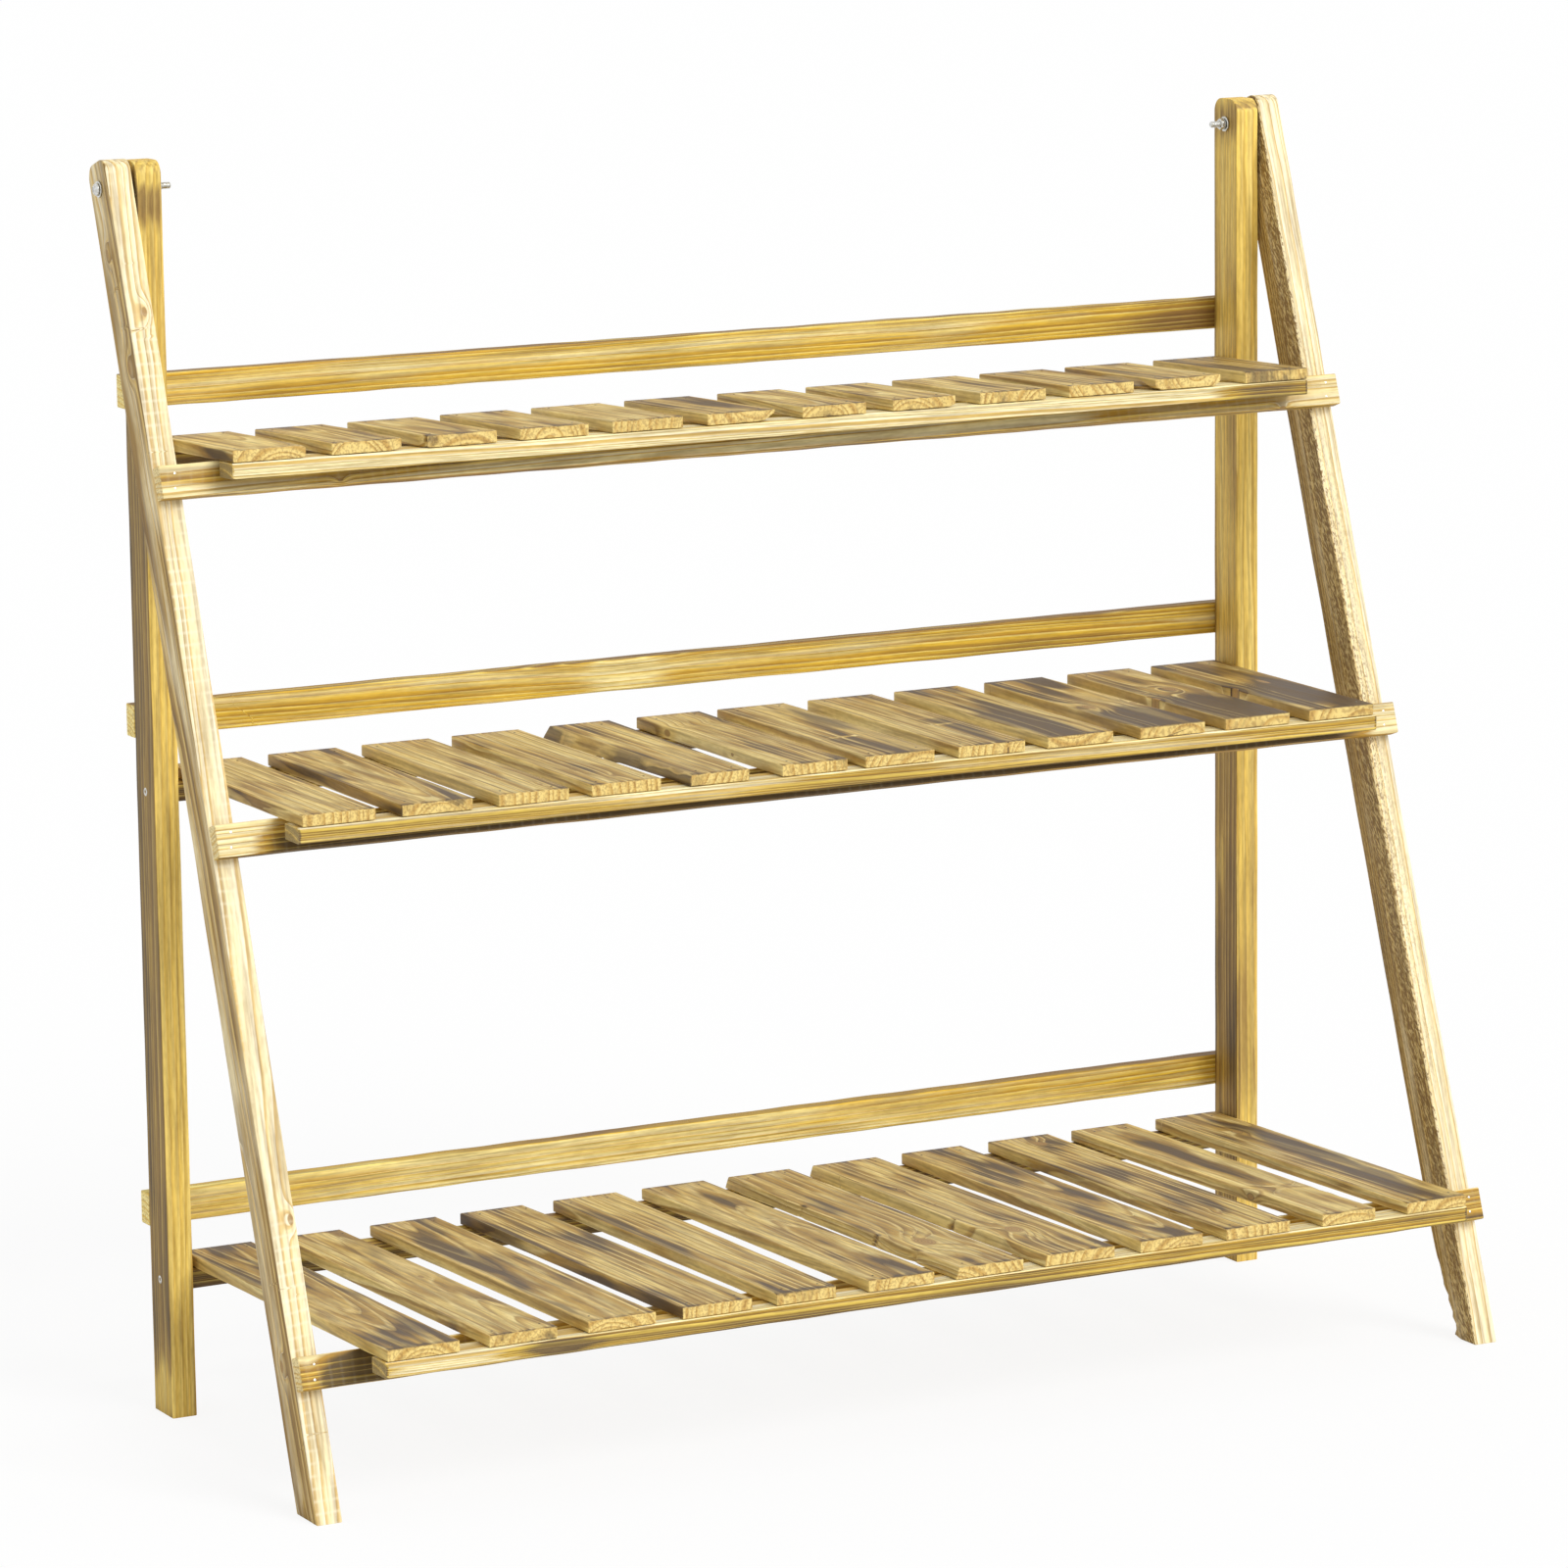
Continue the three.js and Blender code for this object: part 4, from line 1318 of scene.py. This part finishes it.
SLATS: dict[str, tuple[Slat, ...]] = {
    "top": (
        Slat(
            -455, -397, 0.1, 0.5, log=Log(10, 20, 0.05),
            burns_and_shade=(BurnAndShade(45, 0, 30, 90, 0.6, Side.LEFT), BurnAndShade(30, 20, 40, 9, -0.4, Side.UP)),
            wanes=(Wane((1, 1), 30, 95, 2.6), Wane((1, -1), 30, 95, 2.6)),
        ),
        Slat(
            -377, -321, 0.45, log=Log(-8, 13, 0.03), burns_and_shade=(BurnAndShade(-20, 3, 9, 7, -0.7, Side.UP),),
            wanes=(Wane((1, -1), 0, 95, 9, 0.3),),
        ),
        Slat(
            -302, -244, 0.35, log=Log(4, 26, 0.02), notches=(Notch(-1, 66, 9, 2.6),),
            burns_and_shade=(BurnAndShade(68, -27, 5, 4, 0.9),),
        ),
        Slat(
            -226, -169, 0.4, end_flame=0.15, log=Log(-4, 5, 0.03),
            burns_and_shade=(BurnAndShade(0, 10, 50, 12, -0.3, Side.UP),),
        ),
        Slat(-150, -91, 0.25, end_flame=0.2, log=Log(58, 6, 0.01), knots=(Knot(69, 2, 1.2, 1.0),)),
        Slat(
            -71, -14, 0.6, end_flame=0.1, log=Log(13, -16, -0.02),
            wanes=(Wane((1, -1), -20, 95, 12, 0.5),),
        ),
        Slat(9, 64, 0.4, end_flame=0.1, log=Log(-9, 12, 0.04)),
        Slat(
            86, 141, 0.45, end_flame=0.25, log=Log(-10, 16, 0.03),
            wanes=(Wane((1, -1), 10, 95, 6, 0.6),),
        ),
        Slat(
            162, 220, 0.3, end_flame=0.25, log=Log(32, 15, 0.01),
            burns_and_shade=(BurnAndShade(0, 6, 70, 5, 0.6, Side.UP),),
        ),
        Slat(240, 298, 0.5, log=Log(40, -34, 0.01)),
        Slat(
            317, 376, 0.35, log=Log(9, -14, 0.03), burns_and_shade=(BurnAndShade(70, 0, 3, 9, 0.9, Side.FRONT),),
            wanes=(Wane((-1, -1), -60, 95, 9, 0.7), Wane((1, -1), 20, 95, 6, 0.8)),
        ),
        Slat(398, 455, 0.85, -0.1, 0.7, log=Log(-46, 4, 0.01), flare=(0.2, 2.9)),
    ),
    "middle": (
        Slat(-452, -394, 0.22, 0.5, log=Log(-52, 2, 0.004)),
        Slat(
            -374, -317, 0.3, 0.6, 0.3, log=Log(3, 11, 0.06),
            burns_and_shade=(BurnAndShade(30, 22, 90, 5, 0.5, Side.UP), BurnAndShade(0, -26, 140, 3, 0.5, Side.UP)),
        ),
        Slat(
            -297, -240, 0.3, log=Log(-55, 0, 0.003), knots=(Knot(97, 16, 1.6, stretch=3),),
            burns_and_shade=(BurnAndShade(0, -20, 200, 9, -0.6, Side.UP),),
        ),
        Slat(
            -222, -165, 0.35, -0.3, log=Log(-50, 8, 0.004), knots=(Knot(93, 3, 1.8, stretch=2.6),),
            burns_and_shade=(BurnAndShade(40, -4, 60, 10, 0.45, Side.UP), BurnAndShade(0, 23, 200, 7, -0.6, Side.UP)),
        ),
        Slat(
            -141, -92, 0.4, 0.95, 0.1, log=Log(-46, -20, 0.004), flare=(-4.6, 4.5),
            wanes=(Wane((-1, 1), -160, 150, 3.0, 1.6),), burns_and_shade=(BurnAndShade(50, 12, 70, 7, 0.4, Side.UP),),
        ),
        Slat(
            -65, -10, 0.45, -0.3, 0.1, log=Log(-58, 4, 0.003),
            knots=(Knot(-68, 0, 3.2, edgewise=True), Knot(40, 0, 1.2, 1.0, True)),
            burns_and_shade=(BurnAndShade(-100, 0, 34, 90, 0.9, Side.LEFT), BurnAndShade(0, -21, 200, 6, -0.6, Side.UP)),
        ),
        Slat(
            5, 64, 0.4, log=Log(22, 24, 0.01),
            burns_and_shade=(BurnAndShade(60, -10, 60, 16, 0.9, Side.UP), BurnAndShade(-108, 10, 12, 1.2, 1.2, Side.UP),
                   BurnAndShade(37, 0, 1.6, 14, -0.9, Side.UP)),
        ),
        Slat(
            84, 142, 0.5, log=Log(40, 10, 0.006), knots=(Knot(118, 14, 1.4, 1.0),),
            burns_and_shade=(BurnAndShade(0, -22, 200, 6, -0.6, Side.UP), BurnAndShade(-4, 12, 1.6, 8, -0.9, Side.UP),
                   BurnAndShade(28, 8, 1.6, 10, -0.9, Side.UP), BurnAndShade(70, 8, 40, 12, 0.3, Side.UP)),
        ),
        Slat(
            161, 219, 0.7, log=Log(-6, -26, 0.004),
            burns_and_shade=(BurnAndShade(50, -6, 75, 17, 0.7, Side.UP), BurnAndShade(0, 25, 200, 5, -0.8, Side.UP),
                   BurnAndShade(31, -14, 1.8, 9, -1.1, Side.UP)),
        ),
        Slat(
            242, 300, 0.65, -0.15, 0.15, log=Log(13, 13, 0.03, years=1.6), flare=(0, -4),
            knots=(Knot(20, -15, 5.0, stretch=2.2), Knot(21, 24, 2.2, stretch=3)),
            burns_and_shade=(BurnAndShade(85, 6, 46, 28, 1.0, Side.UP), BurnAndShade(121, -2, 4, 1, 1.5, Side.FRONT)),
        ),
        Slat(
            318, 376, 0.65, -0.15, 0.15, log=Log(20, 17, 0.03, years=1.8),
            knots=(Knot(16, -28, 3.6, 0.5), Knot(-18, 5, 5.5, stretch=2)),
            burns_and_shade=(BurnAndShade(80, 0, 50, 28, 1.0, Side.UP),),
        ),
        Slat(
            393, 452, 0.65, 0.1, 0.15, log=Log(20, 18, 0.03, years=1.8), flare=(2.2, 3.8),
            knots=(Knot(8, -28, 4.0, 1.0), Knot(-10, 10, 3.0, stretch=4)),
            notches=(Notch(-1, 8, 12, 3.0),), burns_and_shade=(BurnAndShade(64, 4, 62, 26, 1.0, Side.UP),),
        ),
    ),
    "bottom": (
        Slat(
            -454, -397, 0.55, -0.1, log=Log(1, 13, 0.055),
            burns_and_shade=(BurnAndShade(150, 0, 32, 20, 0.45, Side.UP), BurnAndShade(150, -28, 30, 4, 0.5)),
        ),
        Slat(
            -374, -320, 0.2, -0.2, 0.45, log=Log(15, 22, -0.035), flare=(0, -3.7),
            knots=(Knot(-8, 9, 2.2, stretch=2.4),),
            burns_and_shade=(BurnAndShade(-60, 18, 90, 10, 0.4, Side.UP), BurnAndShade(125, 0, 22, 90, 0.9, Side.LEFT)),
        ),
        Slat(
            -296, -241, 0.6, -0.1, log=Log(-10, 19, 0.022), flare=(-3.3, -2.2),
            burns_and_shade=(BurnAndShade(-150, 5, 40, 2, 0.7, Side.UP), BurnAndShade(-60, -8, 60, 8, 0.4, Side.UP)),
        ),
        Slat(
            -220, -163, 0.5, 1.0, log=Log(50, 6, 0.008), flare=(-3.3, -6.4),
            burns_and_shade=(BurnAndShade(80, -14, 60, 5, -0.9, Side.UP), BurnAndShade(10, 10, 80, 9, 0.4, Side.UP)),
        ),
        Slat(
            -143, -94, 0.42, -0.3, 0.3, log=Log(-50, 2, 0.004), flare=(-0.9, 5.8),
            burns_and_shade=(BurnAndShade(184, 0, 5, 90, 0.5, Side.UP), BurnAndShade(-60, 0, 60, 8, 0.2, Side.UP)),
        ),
        Slat(
            -67, -12, 0.5, -0.25, log=Log(8, 15, -0.05),
            burns_and_shade=(BurnAndShade(0, -22, 260, 10, -0.7, Side.UP),),
        ),
        Slat(
            9, 64, 0.42, -0.2, log=Log(-30, 20, 0.012), splay=(3, 0),
            knots=(Knot(96, -7, 9.0, stretch=1.7),),
            burns_and_shade=(BurnAndShade(-30, 6, 60, 9, 0.35, Side.UP), BurnAndShade(165, 0, 14, 30, 0.35, Side.UP),
                   BurnAndShade(-61, -29, 4, 5, 1.2), BurnAndShade(58, -29, 3, 5, 0.9), BurnAndShade(118, -30, 7, 5, 1.1)),
            notches=(Notch(-1, -61, 7, 1.8), Notch(-1, 58, 7, 1.2), Notch(-1, 118, 14, 2.0)),
        ),
        Slat(
            84, 142, 0.42, -0.2, log=Log(38, 15, 0.01), splay=(3, 0),
            knots=(Knot(-68, -14, 2.4, 1.0, stretch=3), Knot(97, -7, 7.5, stretch=1.7)),
            burns_and_shade=(BurnAndShade(-98, 6, 26, 8, 0.6, Side.UP), BurnAndShade(-42, 8, 20, 4, -0.6, Side.UP),
                   BurnAndShade(42, -30, 5, 5, 0.9), BurnAndShade(150, 8, 24, 12, 0.4, Side.UP)),
            notches=(Notch(-1, 42, 7, 1.6),),
        ),
        Slat(
            164, 219, 0.55, -0.05, 0.0, log=Log(11.5, 9, 0.066),
            burns_and_shade=(BurnAndShade(165, 6, 24, 14, 0.4, Side.UP),),
        ),
        Slat(
            239, 296, 0.55, -0.05, log=Log(-50, 4, 0.01), flare=(4, 2.8),
            knots=(Knot(-156, 8, 5.0, stretch=1.6), Knot(135, -4, 2.6)),
            burns_and_shade=(BurnAndShade(-149, 18, 16, 8, 0.6, Side.UP), BurnAndShade(-60, 18, 30, 1.5, -1.0, Side.UP),
                   BurnAndShade(10, 2, 90, 14, 0.4, Side.UP)),
        ),
        Slat(
            324, 372, 0.25, -0.1, log=Log(4, 44, 0.002), flare=(-4.1, 1.6),
            knots=(Knot(-172, 12, 2.4), Knot(-176, -9, 2.0), Knot(84, 0, 3.0, 0.7, True)),
            burns_and_shade=(BurnAndShade(-70, -2, 130, 9, 0.75, Side.UP), BurnAndShade(90, 0, 80, 90, 0.6, Side.LEFT)),
            wanes=(Wane((1, 1), -60, 220, 1.6),),
        ),
        Slat(
            400, 454, 0.5, 0.0, log=Log(20, 22, 0.02), flare=(-1.4, 2.3),
            knots=(Knot(-107, 1.5, 4.0, 0.5),),
            burns_and_shade=(BurnAndShade(-130, 8, 30, 4, 0.7, Side.UP), BurnAndShade(-60, -17, 80, 1.6, 0.9, Side.UP),
                   BurnAndShade(120, 4, 60, 18, 0.6, Side.UP), BurnAndShade(-20, 6, 60, 12, 0.4, Side.UP)),
        ),
    ),
}


@dataclass
class Shelf:
    """A slatted shelf about its pivot line: two rails, a row of slats, nails and two screws."""

    tier: str
    joint: dict
    nail_inset: float = 9.0  # from a slat's long edge, in millimetres
    nail_scatter: float = 2.0  # how far a nail may be off its mark
    rail_width: float = 25.0
    end: float = 455.0  # of the shelf, from the stand's middle
    screw_radius: float = 2.0
    screw_head: float = 3.3

    @property
    def body(self) -> str:
        """Name of the shelf's CAD body."""
        return f"shelf_{self.tier}"

    @property
    def tilt(self) -> float:
        """How far the front edge is lifted: what the range lacks to a right angle."""
        return math.radians(90 - self.joint["range_deg"][1])

    @property
    def up(self) -> np.ndarray:
        """Out of the shelf's top."""
        return np.array([0.0, math.sin(self.tilt), math.cos(self.tilt)])

    @property
    def forward(self) -> np.ndarray:
        """Along the slats to the front."""
        return np.array([0.0, -math.cos(self.tilt), math.sin(self.tilt)])

    def rails(self) -> list[Board]:
        """The front rail, bright and dark below, and the browner back rail.

        Returns:
            The front and the back rail.
        """
        fronts = {
            "top": (-0.4, (BurnAndShade(400, -9, 48, 40, 1.15, Side.FRONT), BurnAndShade(455, 0, 40, 40, 0.9),
                           BurnAndShade(18, -9, 22, 40, 0.55, Side.FRONT))),
            "middle": (0.55, (BurnAndShade(-150, 0, 90, 40, -0.35), BurnAndShade(240, 0, 60, 40, -0.2))),
            "bottom": (0.7, (BurnAndShade(-318, -9, 24, 40, 0.7, Side.FRONT),
                             BurnAndShade(-410, 0, 50, 40, -1.1, Side.FRONT))),
        }
        depth, burns_and_shade = fronts[self.tier]
        return [
            Board(
                f"{self.body}_{part}", self.body, "shelf_rail_wood", axes_of((1, 0, 0), self.up),
                Log(across=14, below=58, drift=0.006, sway=0.008, years=0.6), burns_and_shade=spots,
                flame={Side.FRONT: face, Side.UP: top, Side.DOWN: 1.3,
                       Side.BACK: 0.4, Side.LEFT: 0.9, Side.RIGHT: 0.6},
            )
            for part, face, top, spots in (
                ("front_rail", depth, -0.35, burns_and_shade), ("back_rail", 0.9, 0.8, ())
            )
        ]

    def slats(self) -> list[Board]:
        """The slats, each sawn from its own place in a log.

        Returns:
            The slats from the left.
        """
        found = []
        for number, slat in enumerate(SLATS[self.tier], start=1):
            found.append(
                Board(
                    f"{self.body}_slat_{number:02d}", self.body, "slat_wood",
                    axes_of(self.forward, self.up), slat.log, radius=SLAT_RADIUS,
                    flame={Side.UP: slat.flame, Side.LEFT: slat.side_flame,
                           Side.RIGHT: slat.side_flame, Side.FRONT: slat.end_flame, Side.DOWN: 0.2},
                    plain_flame=-0.1, knots=slat.knots, burns_and_shade=slat.burns_and_shade,
                    wanes=slat.wanes, notches=slat.notches, edges=(slat.left, slat.right),
                    flare=slat.flare, splay=slat.splay, end_burn=0.4,
                )
            )
        return found

    def nails(self, slats: Iterable[Board]) -> Turnings:
        """Two nails at each end of each slat, over the middle of the rails.

        Args:
            slats: The shelf's slats.

        Returns:
            All their nails.
        """
        nails = Turnings(f"{self.body}_nails", self.body)
        random = np.random.default_rng(len(self.tier))
        back = np.array(self.joint["pos_m"]) @ self.forward
        for slat in slats:
            front = slat.middle[0] + slat.half[0] - self.rail_width / 2 * MM
            for along in (front, back):
                for sign in (-1, 1):
                    aside = slat.middle[1] + sign * (slat.half[1] - self.nail_inset * MM)
                    spot = np.array([along, aside, slat.middle[2] + slat.half[2]])
                    spot[:2] += random.uniform(-self.nail_scatter, self.nail_scatter, 2) * MM
                    nails.put(BRAD_HEAD, spot @ slat.axes, slat.axes[2])
        return nails

    def screws(self) -> Turnings:
        """The two screws on which the shelf turns, with a domed head and a hexagon recess.

        Returns:
            Both screws.
        """
        screws = Turnings(f"{self.body}_pivot_screws", self.body)
        head = np.abs(np.array(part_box("rear_leg_left"))[:, 0]).max() / MM
        rings = [
            Ring(self.end - 3, self.screw_radius * 0.9), Ring(head - 2, self.screw_radius),
            Ring(head - 1.9, self.screw_head), Ring(head - 0.3, self.screw_head),
            Ring(head + 0.05, self.screw_head - 0.3), Ring(head + 0.15, self.screw_head - 1.2),
            Ring(head + 0.1, 1.3, 6), Ring(head - 0.8, 1.25, 6), Ring(head - 0.9, 0.6),
        ]
        for sign in (-1.0, 1.0):
            screws.put(turned(rings, 24), self.joint["pos_m"], (sign, 0.0, 0.0))
        return screws

    def build(self, materials: dict[Wood, bpy.types.Material], zinc: bpy.types.Material,
              brad: bpy.types.Material) -> None:
        """Makes every piece of the shelf.

        Args:
            materials: The finished material of each wood.
            zinc: The steel of the pivot screws.
            brad: The steel of the nails.
        """
        for board in self.rails():
            board.build(materials[SHELF_RAIL_WOOD])
        slats = self.slats()
        for board in slats:
            board.build(materials[SLAT_WOOD])
        self.nails(slats).build(brad)
        self.screws().build(zinc)


@dataclass(frozen=True)
class Studio:
    """White floor, even sky, one soft key light from the front right, and the camera."""

    place: tuple[float, float, float] = (-2.36296, -4.42990, 1.36548)
    right: tuple[float, float, float] = (0.88673441, -0.46208043, -0.01355582)
    up: tuple[float, float, float] = (0.09580089, 0.15499696, 0.98325893)
    focal_length: float = 155.83  # for a sensor 36 mm wide
    shift: tuple[float, float] = (0.02944, 0.02021)
    sky: float = 0.66  # strength of the sky's light
    key: float = 2.0  # strength of the key light
    paper: float = 0.93  # grey of the floor
    paper_grain: float = 3.85  # size of its unevenness, in millimetres
    glow: float = 0.88  # share of plain white in the floor that the camera sees
    floor_reach: float = 30.0  # from its middle to its edges, in metres

    def build(self) -> None:
        """Makes the floor, the world, the lamp and the camera."""
        self.make_floor()
        self.make_world()
        self.make_key()
        self.make_camera()

    def make_floor(self) -> None:
        """A wide paper floor: to the camera it is mostly white light, so its shadow stays pale."""
        corners = np.array([[-1, -1, 0], [1, -1, 0], [1, 1, 0], [-1, 1, 0]]) * self.floor_reach
        floor = mesh_object("floor", corners, [(0, 1, 2, 3)])
        material = bpy.data.materials.new("floor_paper_white")
        tree = Tree(material)
        grain = tree.add("TexCoord").outputs["Object"]
        scale = 1 / (self.paper_grain * MM)
        grain = tree.add("TexNoise", {"Vector": grain, "Scale": scale, "Detail": 2.0})
        tint = tree.add("ValToRGB", [grain], ((0.3, self.paper - 0.02), (0.7, self.paper)))
        paper = tree.add("BsdfDiffuse", {"Color": tint})
        light = tree.add("Emission", {"Color": "#ffffff", "Strength": 1.0})
        seen = tree.add("LightPath").outputs["Is Camera Ray"]
        share = tree.add("Math", [seen, self.glow], operation="MULTIPLY")
        tree.add("OutputMaterial", {"Surface": tree.add("MixShader", [share, paper, light])})
        floor.data.materials.append(material)
        floor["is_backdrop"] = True

    def make_world(self) -> None:
        """A plain sky, white to the camera and in reflections."""
        world = bpy.data.worlds.new("studio_sky")
        bpy.context.scene.world = world
        tree = Tree(world)
        path = tree.add("LightPath")
        white = path.outputs["Is Camera Ray"]
        for ray in ("Is Glossy Ray", "Is Transmission Ray"):
            white = tree.add("Math", [white, path.outputs[ray]], operation="MAXIMUM")
        level = tree.add("MapRange", {"Value": white, "To Min": self.sky, "To Max": 1.0})
        sky = tree.add("Background", {"Color": "#ffffff", "Strength": level})
        tree.add("OutputWorld", {"Surface": sky})

    def make_key(self) -> None:
        """A broad soft light from the front right, high."""
        lamp = bpy.data.lights.new("key", "SUN")
        lamp.energy = self.key
        lamp.angle = math.radians(30)
        light = bpy.data.objects.new("key", lamp)
        light.rotation_euler = Vector((-0.4, 1.0, -0.85)).to_track_quat("-Z", "Y").to_euler()
        bpy.context.scene.collection.objects.link(light)

    def make_camera(self) -> None:
        """The photograph's camera, fitted to the corners of the stand."""
        right, up = Vector(self.right), Vector(self.up)
        camera = bpy.data.objects.new("camera", bpy.data.cameras.new("camera"))
        turn = Matrix((right, up, right.cross(up))).transposed().to_4x4()
        camera.matrix_world = Matrix.Translation(self.place) @ turn
        camera.data.sensor_width = 36
        camera.data.lens = self.focal_length
        camera.data.shift_x, camera.data.shift_y = self.shift
        camera.data.clip_end = 100
        bpy.context.scene.collection.objects.link(camera)
        bpy.context.scene.camera = camera


def main() -> None:
    """Builds the stand's looks piece by piece and reports them."""
    logging.basicConfig(level=logging.INFO, format="%(name)s: %(message)s")
    bpy.context.scene.view_settings.view_transform = "Standard"
    Studio().build()
    woods = (FRONT_WOOD, LEG_WOOD, CROSS_RAIL_WOOD, GUARD_WOOD, SLAT_WOOD, SHELF_RAIL_WOOD)
    materials = {wood: wood.build() for wood in woods}
    zinc, brad = ZINC.build(), BRAD.build()
    joints = {joint["name"]: joint for joint in frame["joints"]}
    Frames(joints["front_frame_fold"]).build(materials, zinc)
    for tier in TIERS:
        Shelf(tier, joints[f"shelf_{tier}_fold"]).build(materials, zinc, brad)
    [[list(corner) for corner in box] for box in (CAD_BOX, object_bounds())]


if __name__ == "__main__":
    main()
